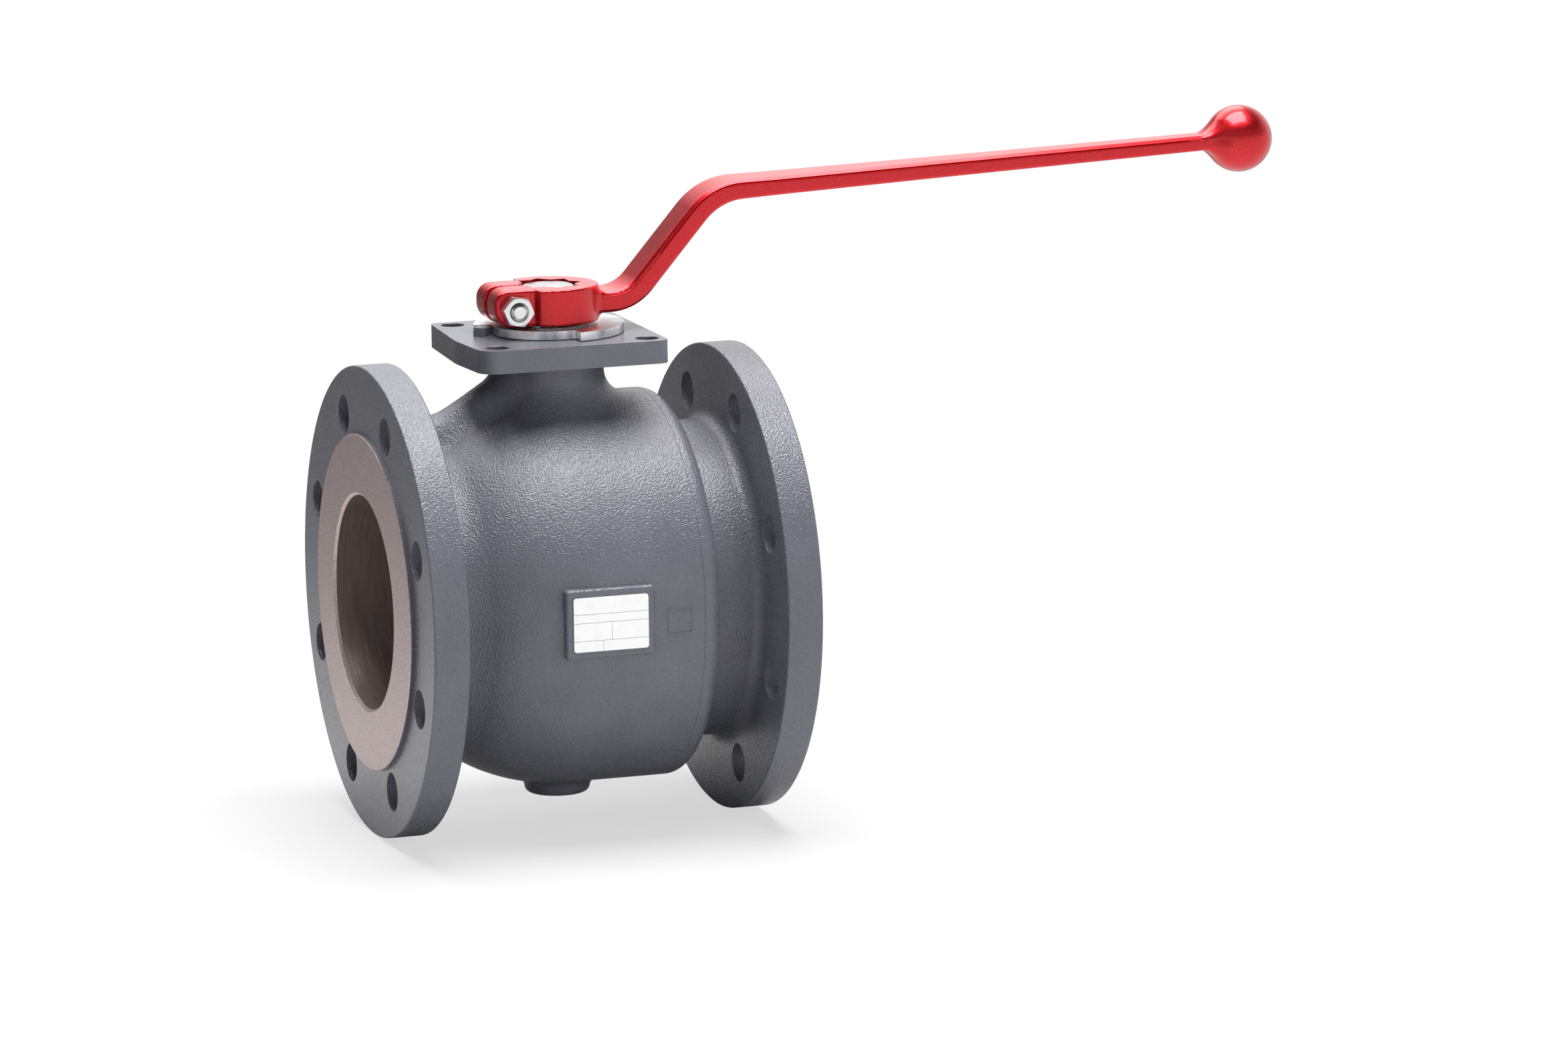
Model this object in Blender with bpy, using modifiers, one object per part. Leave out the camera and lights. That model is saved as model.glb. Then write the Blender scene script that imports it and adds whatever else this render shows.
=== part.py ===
"""Lever-operated flanged ball valve, DN 100 PN 16, as a bench assembly of separate pieces.

Metres, +Z up along the stem, +X along the pipe towards the outlet flange. The origin is where the
stem axis crosses the pipe axis. The lever lies along +X, so the valve stands open.
"""
import math

import bmesh
import bpy
from mathutils import Matrix

# Pipe ends
BORE_R = 0.050
INLET_FACE_X = -0.0925
OUTLET_FACE_X = 0.0975
FLANGE_R = 0.110
FLANGE_THICKNESS = 0.019
RAISED_FACE_R = 0.0785
RAISED_FACE_HEIGHT = 0.0022
FLANGE_BOLT_CIRCLE_R = 0.090
FLANGE_BOLT_HOLE_R = 0.009
FLANGE_BOLT_HOLE_SIDES = 16
FLANGE_BOLT_COUNT = 8
RIM_CHAMFER = 0.001
BORE_CHAMFER = 0.001

# Shell of the two castings
SHELL_R = 0.0912
BOWL_CENTRE_X = -0.0018
INLET_NECK_R = 0.0715
INLET_FILLET = 0.007
JOINT_X = 0.0445
SHOULDER_ROUND = 0.007
SHOULDER_END_X = 0.0532
TAIL_NECK_R = 0.0745
TAIL_FILLET = 0.005
CAVITY_R = 0.0785
SPIGOT_R = 0.0817
SPIGOT_DEPTH = 0.0142
FIT_GAP = 0.0003

# Ball and its seats
BALL_R = 0.075
BALL_SLOT_HALF_WIDTH = 0.0083
BALL_SLOT_FLOOR_Z = 0.064
SEAT_POCKET_R = 0.0646
SEAT_POCKET_X = 0.0614
SEAT_FRONT_X = 0.0465
SEAT_BORE_R = 0.051
SEAT_BALL_GAP = 0.0004
SEAT_GROOVE_X = (0.0554, 0.0586)
SEAT_GROOVE_R = 0.0614
SEAT_O_RING_SECTION_R = 0.00125
TAIL_GROOVE_X = (0.0358, 0.0396)
TAIL_GROOVE_R = 0.0784
TAIL_O_RING_SECTION_R = 0.0014

# Neck, mounting pad, rib, boss and label land of the body casting
NECK_R = 0.0252
NECK_FLARE = 0.012
NECK_FLARE_TOP_Z = 0.1032
NECK_SKIRT = 0.004
NECK_TOP_Z = 0.1194
PAD_CORNERS = ((0.0444, 0.0452, 0.005), (-0.0447, 0.0452, 0.005), (-0.0482, -0.009, 0.060),
               (-0.0456, -0.0454, 0.009), (0.0444, -0.0454, 0.005))
PAD_BOTTOM_Z = 0.1106
PAD_TOP_Z = 0.1214
PAD_EDGE = 0.0014
PAD_HOLE_R = 0.0055
PAD_HOLE_OFFSET = 0.051 / math.sqrt(2.0)
RIB_HALF_WIDTH = 0.013
RIB_EDGE = 0.004
RIB_TOP = ((-0.022, 0.1052), (-0.052, 0.0885), (-0.0605, 0.0848), (-0.075, 0.0835))
RIB_FOOT = ((-0.075, 0.067), (-0.022, 0.080))
BOSS_TOP_R = 0.0160
BOSS_BOTTOM_R = 0.0145
BOSS_BOTTOM_Z = -0.097
BOSS_ROOT_Z = -0.0862
LAND_X = (-0.0226, 0.0198)
LAND_Z = (-0.0155, 0.0167)
LAND_FACE_Y = -0.0927
LAND_BACK_Y = -0.0867
LABEL_SIZE = (0.0358, 0.0252)
LABEL_THICKNESS = 0.0003
LABEL_CORNER = 0.0012
LUG_CENTRE = (-0.0326, 0.0)
LUG_HALF_DIAGONAL = 0.0043
LUG_SIDES = 4
LUG_TOP_Z = 0.1258

# Stem and what seals it in the neck
STEM_R = 0.0125
STEM_BORE_R = 0.0128
STEM_TOP_Z = 0.1434
STEM_CHAMFER = 0.001
TANG_R = 0.0165
TANG_HALF_WIDTH = 0.008
TANG_Z = (0.0644, 0.0758)
COLLAR_R = 0.017
COLLAR_TOP_Z = 0.0817
COLLAR_POCKET_R = 0.0174
COLLAR_POCKET_TOP_Z = 0.0843
STEM_O_RING_Z = (0.0888, 0.0938)
STEM_GROOVE_R = 0.0102
STEM_GROOVE_WIDTH = 0.0032
STEM_O_RING_SECTION_R = 0.00105
BUSH_R = 0.0152
BUSH_POCKET_Z = 0.098
PACKING_R = 0.0187
PACKING_POCKET_Z = 0.103
PACKING_RING_HEIGHT = 0.0032
PACKING_NAMES = ("lower_packing_ring", "middle_packing_ring", "upper_packing_ring")
HEAD_HALF_WIDTH = 0.011
HEAD_BOTTOM_Z = 0.1216
FLAT_REACH = 0.030

# Stop disc and the ring that keeps it on the stem
DISC_R = 0.035
DISC_CUT_R = 0.0276
DISC_Z = (0.1218, 0.1258)
RING_Z = (0.1261, 0.1276)
RING_INNER_R = 0.0116
RING_OUTER_R = 0.0175
RING_GAP_DEG = 36.0
RING_GROOVE_R = 0.0113

# Lever
HUB_R = 0.0232
HUB_Z = (0.1269, 0.1440)
EAR_Z = (0.1264, 0.1442)
STAR_HALF_WIDTH = 0.0113
RING_RECESS_R = 0.018
EAR_END_X = -0.0306
EAR_HALF_WIDTH = 0.016
EAR_ROUND_TOP = 0.0068
EAR_ROUND_BOTTOM = 0.0086
SLIT_HALF_WIDTH = 0.0023
NUT_SEAT_X = -0.011
ARM_PATH = ((0.012, 0.1352), (0.0371, 0.1352), (0.0791, 0.1837), (0.336, 0.1927))
ARM_BEND_R = (0.022, 0.031)
ARM_THICKNESS = ((0.0, 0.0100), (0.070, 0.0100), (0.110, 0.0088), (0.336, 0.0072))
ARM_HALF_WIDTH = ((0.0, 0.0112), (0.100, 0.0112), (0.200, 0.0086), (0.336, 0.0068))
ARM_EDGE = 0.0015
GRIP_BALL_CENTRE = (0.3461, 0.0, 0.1929)
GRIP_BALL_R = 0.016

# Clamp bolt and nut
BOLT_X = -0.021
BOLT_Z = 0.1349
BOLT_R = 0.004
BOLT_HOLE_R = 0.0043
BOLT_END_Y = -0.0237
BOLT_HEAD_HEIGHT = 0.0053
NUT_HEIGHT = 0.0065
HEX_CORNER_R = 0.0065 / math.cos(math.pi / 6)

STEPS_LARGE = 40
STEPS_SMALL = 24
HOLE_SIDES = 12

for old in list(bpy.data.objects):
    bpy.data.objects.remove(old, do_unlink=True)

valve = bpy.data.collections.new("flanged_ball_valve")
cutters = bpy.data.collections.new("cutters")
bpy.context.scene.collection.children.link(valve)
bpy.context.scene.collection.children.link(cutters)


# Materials
def material(name, colour, roughness, metallic):
    made = bpy.data.materials.new(name)
    made.use_nodes = True
    shader = made.node_tree.nodes["Principled BSDF"]
    shader.inputs["Base Color"].default_value = (*colour, 1.0)
    shader.inputs["Roughness"].default_value = roughness
    shader.inputs["Metallic"].default_value = metallic
    return made


GREY_ENAMEL = material("grey_enamel", (0.16, 0.17, 0.20), 0.40, 0.0)
RED_ENAMEL = material("red_enamel", (0.55, 0.02, 0.03), 0.32, 0.3)
ZINC = material("zinc_plate", (0.78, 0.80, 0.82), 0.25, 1.0)
STAINLESS = material("stainless", (0.70, 0.70, 0.70), 0.18, 1.0)
PTFE = material("ptfe", (0.88, 0.88, 0.86), 0.5, 0.0)
RUBBER = material("rubber", (0.02, 0.02, 0.02), 0.6, 0.0)
BRASS = material("brass", (0.72, 0.53, 0.22), 0.35, 1.0)
LABEL_FILM = material("label_film", (0.90, 0.90, 0.90), 0.45, 0.0)


# Axes that the pieces hang from
def axis_empty(name):
    empty = bpy.data.objects.new(name, None)
    valve.objects.link(empty)
    return empty


FIXED = axis_empty("fixed_axis")
LEVER_AXIS = axis_empty("lever_axis")
BALL_AXIS = axis_empty("ball_axis")


# Modelling helpers
def baked(obj):
    """Replace an object by a plain mesh of what its curve and modifiers make, welded and facing out."""
    bpy.context.view_layer.update()
    graph = bpy.context.evaluated_depsgraph_get()
    mesh = bpy.data.meshes.new_from_object(obj.evaluated_get(graph))
    mesh.transform(obj.matrix_world)
    shape = bmesh.new()
    shape.from_mesh(mesh)
    bmesh.ops.remove_doubles(shape, verts=shape.verts, dist=1e-6)
    bmesh.ops.dissolve_degenerate(shape, edges=shape.edges, dist=1e-7)
    bmesh.ops.recalc_face_normals(shape, faces=shape.faces)
    shape.to_mesh(mesh)
    shape.free()
    name = obj.name
    bpy.data.objects.remove(obj, do_unlink=True)
    made = bpy.data.objects.new(name, mesh)
    cutters.objects.link(made)
    return made


def turned(name, profile, axis, steps, closed=True):
    """Turn a profile of (along, radius) points about X or Z."""
    shape = bmesh.new()
    if axis == "X":
        points = [shape.verts.new((along, 0.0, radius)) for along, radius in profile]
    else:
        points = [shape.verts.new((radius, 0.0, along)) for along, radius in profile]
    for first, second in zip(points, points[1:]):
        shape.edges.new((first, second))
    if closed:
        shape.edges.new((points[-1], points[0]))
    mesh = bpy.data.meshes.new(name)
    shape.to_mesh(mesh)
    shape.free()
    obj = bpy.data.objects.new(name, mesh)
    cutters.objects.link(obj)
    screw = obj.modifiers.new("turn", "SCREW")
    screw.axis = axis
    screw.angle = 2.0 * math.pi
    screw.steps = steps
    screw.render_steps = steps
    screw.use_merge_vertices = True
    screw.merge_threshold = 1e-6
    return baked(obj)


def plate(name, outlines, low, high, upright=False):
    """Extrude flat outlines between two heights; upright outlines are (x, z) and the heights are y."""
    curve = bpy.data.curves.new(name, "CURVE")
    curve.dimensions = "2D"
    curve.fill_mode = "BOTH"
    curve.extrude = (high - low) / 2.0
    for outline in outlines:
        spline = curve.splines.new("POLY")
        spline.points.add(len(outline) - 1)
        for point, (u, v) in zip(spline.points, outline):
            point.co = (u, v, 0.0, 1.0)
        spline.use_cyclic_u = True
    obj = bpy.data.objects.new(name, curve)
    cutters.objects.link(obj)
    middle = (low + high) / 2.0
    if upright:
        obj.matrix_world = Matrix.Translation((0.0, middle, 0.0)) @ Matrix.Rotation(math.pi / 2.0, 4, "X")
    else:
        obj.matrix_world = Matrix.Translation((0.0, 0.0, middle))
    return baked(obj)


def block(name, xs, ys, zs):
    shape = bmesh.new()
    bmesh.ops.create_cube(shape, size=1.0)
    size = [high - low for low, high in (xs, ys, zs)]
    centre = [(high + low) / 2.0 for low, high in (xs, ys, zs)]
    bmesh.ops.scale(shape, verts=shape.verts, vec=size)
    bmesh.ops.translate(shape, verts=shape.verts, vec=centre)
    return from_shape(name, shape)


def rods(name, places, radius, low, high, axis, sides):
    """Straight rods of one radius along one axis, as a single set."""
    turns = {"X": Matrix.Rotation(math.pi / 2.0, 4, "Y"), "Y": Matrix.Rotation(math.pi / 2.0, 4, "X"),
             "Z": Matrix.Identity(4)}
    shape = bmesh.new()
    for place in places:
        middle = (low + high) / 2.0
        centre = {"X": (middle, *place), "Y": (place[0], middle, place[1]), "Z": (*place, middle)}[axis]
        bmesh.ops.create_cone(shape, cap_ends=True, segments=sides, radius1=radius, radius2=radius,
                              depth=high - low, matrix=Matrix.Translation(centre) @ turns[axis])
    return from_shape(name, shape)


def from_shape(name, shape):
    mesh = bpy.data.meshes.new(name)
    shape.to_mesh(mesh)
    shape.free()
    obj = bpy.data.objects.new(name, mesh)
    cutters.objects.link(obj)
    return obj


def rounded_edges(obj, width, angle_deg=40.0):
    bevel = obj.modifiers.new("edges", "BEVEL")
    bevel.width = width
    bevel.segments = 1
    bevel.limit_method = "ANGLE"
    bevel.angle_limit = math.radians(angle_deg)
    return baked(obj)


def combine(obj, other, operation):
    boolean = obj.modifiers.new(other.name, "BOOLEAN")
    boolean.operation = operation
    boolean.object = other
    boolean.solver = "EXACT"
    other.hide_render = True
    other.display_type = "WIRE"


def node(obj, name, finish, parent, smooth_deg=35.0):
    """Make an object one finished piece of the valve."""
    cutters.objects.unlink(obj)
    valve.objects.link(obj)
    obj.name = name
    obj.parent = parent
    obj.data.materials.clear()
    obj.data.materials.append(finish)
    obj.data.shade_smooth()
    obj.data.set_sharp_from_angle(angle=math.radians(smooth_deg))
    return obj


def arc(centre, radius, start_deg, end_deg, count):
    """Points on an arc, both ends included."""
    angles = [math.radians(start_deg + (end_deg - start_deg) * i / count) for i in range(count + 1)]
    return [(centre[0] + radius * math.cos(a), centre[1] + radius * math.sin(a)) for a in angles]


def mirrored(profile):
    return [(-along, radius) for along, radius in profile]


def shell_radius(x):
    """Outer radius of the body casting between its inlet neck and the joint."""
    if x >= BOWL_CENTRE_X:
        return SHELL_R
    return math.sqrt(max(SHELL_R ** 2 - (x - BOWL_CENTRE_X) ** 2, INLET_NECK_R ** 2))


def interpolate(table, x):
    for (x0, y0), (x1, y1) in zip(table, table[1:]):
        if x <= x1:
            share = max(0.0, (x - x0) / (x1 - x0))
            return y0 + (y1 - y0) * share
    return table[-1][1]


# Flange, from the bore edge over the raised face and the rim to the foot of the back face
def flange_profile(face_x, inward):
    front_x = face_x + inward * RAISED_FACE_HEIGHT
    back_x = face_x + inward * FLANGE_THICKNESS
    return [(face_x + inward * BORE_CHAMFER, BORE_R), (face_x, BORE_R + BORE_CHAMFER),
            (face_x, RAISED_FACE_R), (front_x, RAISED_FACE_R),
            (front_x, FLANGE_R - RIM_CHAMFER), (front_x + inward * RIM_CHAMFER, FLANGE_R),
            (back_x - inward * RIM_CHAMFER, FLANGE_R), (back_x, FLANGE_R - RIM_CHAMFER)]


def flange_bolt_holes(name, low_x, high_x):
    pitch = 2.0 * math.pi / FLANGE_BOLT_COUNT
    angles = [pitch * (i + 0.5) for i in range(FLANGE_BOLT_COUNT)]
    places = [(FLANGE_BOLT_CIRCLE_R * math.cos(a), FLANGE_BOLT_CIRCLE_R * math.sin(a)) for a in angles]
    return rods(name, places, FLANGE_BOLT_HOLE_R, low_x, high_x, "X", FLANGE_BOLT_HOLE_SIDES)


def cavity_wall(start_x, end_x, count):
    """The round wall of the chamber that the ball sits in."""
    start = math.degrees(math.acos(start_x / CAVITY_R))
    end = math.degrees(math.acos(end_x / CAVITY_R))
    return arc((0.0, 0.0), CAVITY_R, start, end, count)


SEAT_POCKET_MOUTH_X = math.sqrt(CAVITY_R ** 2 - SEAT_POCKET_R ** 2)
HOLE_REACH = 0.002


# Body casting: inlet flange, bowl, neck with the mounting pad, rib, boss and label land
def body_turning():
    back_x = INLET_FACE_X + FLANGE_THICKNESS
    neck_corner = (back_x + INLET_FILLET, INLET_NECK_R + INLET_FILLET)
    bowl_start = math.degrees(math.acos(-math.sqrt(1.0 - (INLET_NECK_R / SHELL_R) ** 2)))
    spigot_floor_x = JOINT_X - SPIGOT_DEPTH - FIT_GAP
    pocket = [(-SEAT_POCKET_X, SEAT_POCKET_R), (-SEAT_POCKET_X, BORE_R)]
    profile = flange_profile(INLET_FACE_X, 1.0)
    profile += arc(neck_corner, INLET_FILLET, 180.0, 270.0, 3)
    profile += arc((BOWL_CENTRE_X, 0.0), SHELL_R, bowl_start, 90.0, 6)
    profile += [(JOINT_X, SHELL_R), (JOINT_X, SPIGOT_R + FIT_GAP), (spigot_floor_x, SPIGOT_R + FIT_GAP)]
    profile += [(spigot_floor_x, CAVITY_R)]
    profile += cavity_wall(0.0, -SEAT_POCKET_MOUTH_X, 4)
    return turned("body", profile + pocket, "X", STEPS_LARGE)


def neck_flare():
    """Round neck whose foot is drawn down onto the shell, so that it meets the shell all round."""
    flare_centre = (NECK_R + NECK_FLARE, NECK_FLARE_TOP_Z)
    sweep = arc(flare_centre, NECK_FLARE, 180.0, 270.0, 4)
    foot_z = NECK_FLARE_TOP_Z - NECK_FLARE
    profile = [(NECK_TOP_Z, 0.0), (NECK_TOP_Z, NECK_R)] + [(z, r) for r, z in sweep]
    profile += [(foot_z - NECK_SKIRT, NECK_R + NECK_FLARE), (foot_z - NECK_SKIRT, 0.0)]
    neck = turned("neck", profile, "Z", STEPS_LARGE, closed=False)
    for vertex in neck.data.vertices:
        x, y, z = vertex.co
        sunk = math.sqrt(shell_radius(x) ** 2 - y ** 2) - SHELL_R
        vertex.co.z = z + sunk * min(1.0, max(0.0, (NECK_FLARE_TOP_Z - z) / NECK_FLARE))
    return neck


def rounded_outline(corners, count):
    """Outline through corners given anticlockwise as (u, v, radius), each rounded to its radius."""
    outline = []
    for i, (u, v, radius) in enumerate(corners):
        before, after = corners[i - 1], corners[(i + 1) % len(corners)]
        heading_in = math.atan2(v - before[1], u - before[0])
        heading_out = math.atan2(after[1] - v, after[0] - u)
        turn = (heading_out - heading_in) % (2.0 * math.pi)
        setback = radius * math.tan(turn / 2.0)
        centre = (u - setback * math.cos(heading_in) - radius * math.sin(heading_in),
                  v - setback * math.sin(heading_in) + radius * math.cos(heading_in))
        first = math.degrees(heading_in) - 90.0
        outline += arc(centre, radius, first, first + math.degrees(turn), count)
    return outline


def stem_bore():
    """Everything bored down the neck: packing box, bush pocket, stem bore and collar pocket."""
    profile = [(PAD_TOP_Z + HOLE_REACH, 0.0), (PAD_TOP_Z + HOLE_REACH, PACKING_R + FIT_GAP),
               (PACKING_POCKET_Z, PACKING_R + FIT_GAP), (PACKING_POCKET_Z, BUSH_R + FIT_GAP),
               (BUSH_POCKET_Z, BUSH_R + FIT_GAP), (BUSH_POCKET_Z, STEM_BORE_R),
               (COLLAR_POCKET_TOP_Z, STEM_BORE_R), (COLLAR_POCKET_TOP_Z, COLLAR_POCKET_R),
               (BALL_SLOT_FLOOR_Z, COLLAR_POCKET_R), (BALL_SLOT_FLOOR_Z, 0.0)]
    return turned("stem_bore", profile, "Z", STEPS_SMALL, closed=False)


def make_body():
    body = body_turning()
    pad = plate("pad", [rounded_outline(PAD_CORNERS, 4)], PAD_BOTTOM_Z, PAD_TOP_Z)
    rib = plate("rib", [RIB_TOP + RIB_FOOT], -RIB_HALF_WIDTH, RIB_HALF_WIDTH, upright=True)
    boss_profile = [(BOSS_ROOT_Z, 0.0), (BOSS_ROOT_Z, BOSS_TOP_R),
                    (BOSS_BOTTOM_Z + RIM_CHAMFER, BOSS_BOTTOM_R),
                    (BOSS_BOTTOM_Z, BOSS_BOTTOM_R - RIM_CHAMFER), (BOSS_BOTTOM_Z, 0.0)]
    for piece in (
            neck_flare(), rounded_edges(pad, PAD_EDGE), rounded_edges(rib, RIB_EDGE),
            turned("boss", boss_profile, "Z", STEPS_SMALL, closed=False),
            block("land", LAND_X, (LAND_FACE_Y, LAND_BACK_Y), LAND_Z),
            rods("stop_lug", [LUG_CENTRE], LUG_HALF_DIAGONAL, PAD_BOTTOM_Z, LUG_TOP_Z, "Z", LUG_SIDES)):
        combine(body, piece, "UNION")
    corners = [(u * PAD_HOLE_OFFSET, v * PAD_HOLE_OFFSET) for u in (-1, 1) for v in (-1, 1)]
    through_pad = (PAD_BOTTOM_Z - HOLE_REACH, PAD_TOP_Z + HOLE_REACH)
    back_x = INLET_FACE_X + FLANGE_THICKNESS
    for cutter in (
            stem_bore(),
            rods("pad_holes", corners, PAD_HOLE_R, *through_pad, "Z", HOLE_SIDES),
            flange_bolt_holes("inlet_bolt_holes", INLET_FACE_X - HOLE_REACH, back_x + HOLE_REACH)):
        combine(body, cutter, "DIFFERENCE")
    node(body, "body", GREY_ENAMEL, FIXED)


# Tail piece: screwed into the body, it carries the outlet flange and holds the ball in
def make_tail_piece():
    back_x = OUTLET_FACE_X - FLANGE_THICKNESS
    neck_corner = (back_x - TAIL_FILLET, TAIL_NECK_R + TAIL_FILLET)
    shoulder_centre = (SHOULDER_END_X - SHOULDER_ROUND, SHELL_R - SHOULDER_ROUND)
    seat_face_x = JOINT_X + FIT_GAP
    spigot_end_x = JOINT_X - SPIGOT_DEPTH
    profile = flange_profile(OUTLET_FACE_X, -1.0)
    profile += arc(neck_corner, TAIL_FILLET, 0.0, -90.0, 2)
    profile += [(SHOULDER_END_X, TAIL_NECK_R)]
    profile += arc(shoulder_centre, SHOULDER_ROUND, 0.0, 90.0, 5)
    profile += [(seat_face_x, SHELL_R), (seat_face_x, SPIGOT_R)]
    profile += [(TAIL_GROOVE_X[1], SPIGOT_R), (TAIL_GROOVE_X[1], TAIL_GROOVE_R)]
    profile += [(TAIL_GROOVE_X[0], TAIL_GROOVE_R), (TAIL_GROOVE_X[0], SPIGOT_R)]
    profile += [(spigot_end_x, SPIGOT_R)]
    profile += cavity_wall(spigot_end_x, SEAT_POCKET_MOUTH_X, 2)
    profile += [(SEAT_POCKET_X, SEAT_POCKET_R), (SEAT_POCKET_X, BORE_R)]
    tail = turned("tail_piece", profile, "X", STEPS_LARGE)
    holes = flange_bolt_holes("outlet_bolt_holes", back_x - HOLE_REACH, OUTLET_FACE_X + HOLE_REACH)
    combine(tail, holes, "DIFFERENCE")
    node(tail, "tail_piece", GREY_ENAMEL, FIXED)


# Ball, with the slot across its top that the stem's tang drives
def make_ball():
    mouth = math.degrees(math.asin(BORE_R / BALL_R))
    ball = turned("ball", arc((0.0, 0.0), BALL_R, mouth, 180.0 - mouth, 12), "X", STEPS_LARGE)
    slot = block("slot", (-BALL_SLOT_HALF_WIDTH, BALL_SLOT_HALF_WIDTH), (-BALL_R, BALL_R),
                 (BALL_SLOT_FLOOR_Z, BALL_R + HOLE_REACH))
    combine(ball, slot, "DIFFERENCE")
    node(ball, "ball", STAINLESS, BALL_AXIS)


# Seat rings and the O-rings round them; the outlet pair mirrors the inlet pair
def seat_profile():
    ball_side_r = BALL_R + SEAT_BALL_GAP
    outer_r = SEAT_POCKET_R - FIT_GAP
    start = math.degrees(math.acos(SEAT_FRONT_X / ball_side_r))
    end = math.degrees(math.asin(SEAT_BORE_R / ball_side_r))
    profile = arc((0.0, 0.0), ball_side_r, start, end, 2)
    profile += [(SEAT_POCKET_X - FIT_GAP, SEAT_BORE_R), (SEAT_POCKET_X - FIT_GAP, outer_r)]
    profile += [(SEAT_GROOVE_X[1], outer_r), (SEAT_GROOVE_X[1], SEAT_GROOVE_R)]
    profile += [(SEAT_GROOVE_X[0], SEAT_GROOVE_R), (SEAT_GROOVE_X[0], outer_r)]
    return profile + [(SEAT_FRONT_X, outer_r)]


def o_ring_profile(along, inner_r, outer_r, section_r):
    return arc((along, (inner_r + outer_r) / 2.0), section_r, 0.0, 300.0, 5)


def make_seats():
    groove_x = sum(SEAT_GROOVE_X) / 2.0
    ring = o_ring_profile(groove_x, SEAT_GROOVE_R, SEAT_POCKET_R, SEAT_O_RING_SECTION_R)
    for side, shape in (("inlet", mirrored), ("outlet", list)):
        seat = turned(side + "_seat", shape(seat_profile()), "X", STEPS_LARGE)
        node(seat, side + "_seat_ring", PTFE, FIXED)
        seal = turned(side + "_seal", shape(ring), "X", STEPS_LARGE)
        node(seal, side + "_seat_o_ring", RUBBER, FIXED)
    groove_x = sum(TAIL_GROOVE_X) / 2.0
    tail_ring = o_ring_profile(groove_x, TAIL_GROOVE_R, SPIGOT_R + FIT_GAP, TAIL_O_RING_SECTION_R)
    node(turned("tail_seal", tail_ring, "X", STEPS_LARGE), "tail_o_ring", RUBBER, FIXED)


# Stem: tang, blow-out collar, two seal grooves, and a head with four flats
def make_stem():
    profile = [(TANG_Z[0], 0.0), (TANG_Z[0], TANG_R), (TANG_Z[1], TANG_R), (TANG_Z[1], COLLAR_R),
               (COLLAR_TOP_Z, COLLAR_R), (COLLAR_TOP_Z, STEM_R)]
    grooves = [(z, STEM_GROOVE_WIDTH, STEM_GROOVE_R) for z in STEM_O_RING_Z]
    ring_room = RING_Z[1] - RING_Z[0] + FIT_GAP
    grooves.append((sum(RING_Z) / 2.0, ring_room, RING_GROOVE_R))
    for z, width, radius in grooves:
        low, high = z - width / 2.0, z + width / 2.0
        profile += [(low, STEM_R), (low, radius), (high, radius), (high, STEM_R)]
    profile += [(STEM_TOP_Z - STEM_CHAMFER, STEM_R), (STEM_TOP_Z, STEM_R - STEM_CHAMFER), (STEM_TOP_Z, 0.0)]
    stem = turned("stem", profile, "Z", STEPS_SMALL, closed=False)
    across = (-FLAT_REACH, FLAT_REACH)
    for sign in (-1, 1):
        tang_side = sorted((sign * TANG_HALF_WIDTH, sign * FLAT_REACH))
        head_side = sorted((sign * HEAD_HALF_WIDTH, sign * FLAT_REACH))
        head_z = (HEAD_BOTTOM_Z, STEM_TOP_Z + HOLE_REACH)
        tang_z = (TANG_Z[0] - HOLE_REACH, TANG_Z[1])
        combine(stem, block("tang_side", tang_side, across, tang_z), "DIFFERENCE")
        combine(stem, block("head_side_x", head_side, across, head_z), "DIFFERENCE")
        combine(stem, block("head_side_y", across, head_side, head_z), "DIFFERENCE")
    node(stem, "stem", STAINLESS, LEVER_AXIS)


# Rings round the stem, from the thrust washer up to the gland ring
def ring_profile(low, high, inner_r, outer_r):
    return [(high, inner_r), (high, outer_r), (low, outer_r), (low, inner_r)]


def make_stem_rings():
    washer = ring_profile(COLLAR_TOP_Z + FIT_GAP, COLLAR_POCKET_TOP_Z - FIT_GAP, STEM_BORE_R, COLLAR_R)
    node(turned("washer", washer, "Z", STEPS_SMALL), "thrust_washer", PTFE, FIXED)
    for name, z in zip(("lower_stem_o_ring", "upper_stem_o_ring"), STEM_O_RING_Z):
        section = o_ring_profile(z, STEM_GROOVE_R, STEM_BORE_R, STEM_O_RING_SECTION_R)
        node(turned(name, section, "Z", STEPS_SMALL), name, RUBBER, LEVER_AXIS)
    bush = ring_profile(BUSH_POCKET_Z + FIT_GAP, PACKING_POCKET_Z - FIT_GAP, STEM_BORE_R, BUSH_R)
    node(turned("bush", bush, "Z", STEPS_SMALL), "stem_bush", BRASS, FIXED)
    z = PACKING_POCKET_Z + FIT_GAP
    for name in PACKING_NAMES:
        ring = ring_profile(z, z + PACKING_RING_HEIGHT, STEM_BORE_R, PACKING_R)
        node(turned(name, ring, "Z", STEPS_SMALL), name, PTFE, FIXED)
        z += PACKING_RING_HEIGHT + FIT_GAP
    gland = ring_profile(z, PAD_TOP_Z - FIT_GAP, STEM_BORE_R, PACKING_R)
    node(turned("gland", gland, "Z", STEPS_SMALL), "gland_ring", BRASS, FIXED)


# Stop disc: a quarter of its rim is cut back, and the ends of the cut meet the lug on the pad
def stem_head_outline(gap):
    """The stem head's section, four flats joined by round corners, grown by a gap."""
    flat, corner_r = HEAD_HALF_WIDTH + gap, STEM_R + gap
    edge = math.degrees(math.acos(flat / corner_r))
    outline = []
    for turn in range(4):
        outline += arc((0.0, 0.0), corner_r, 90.0 * turn + edge, 90.0 * turn + 90.0 - edge, 3)
    return outline


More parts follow.
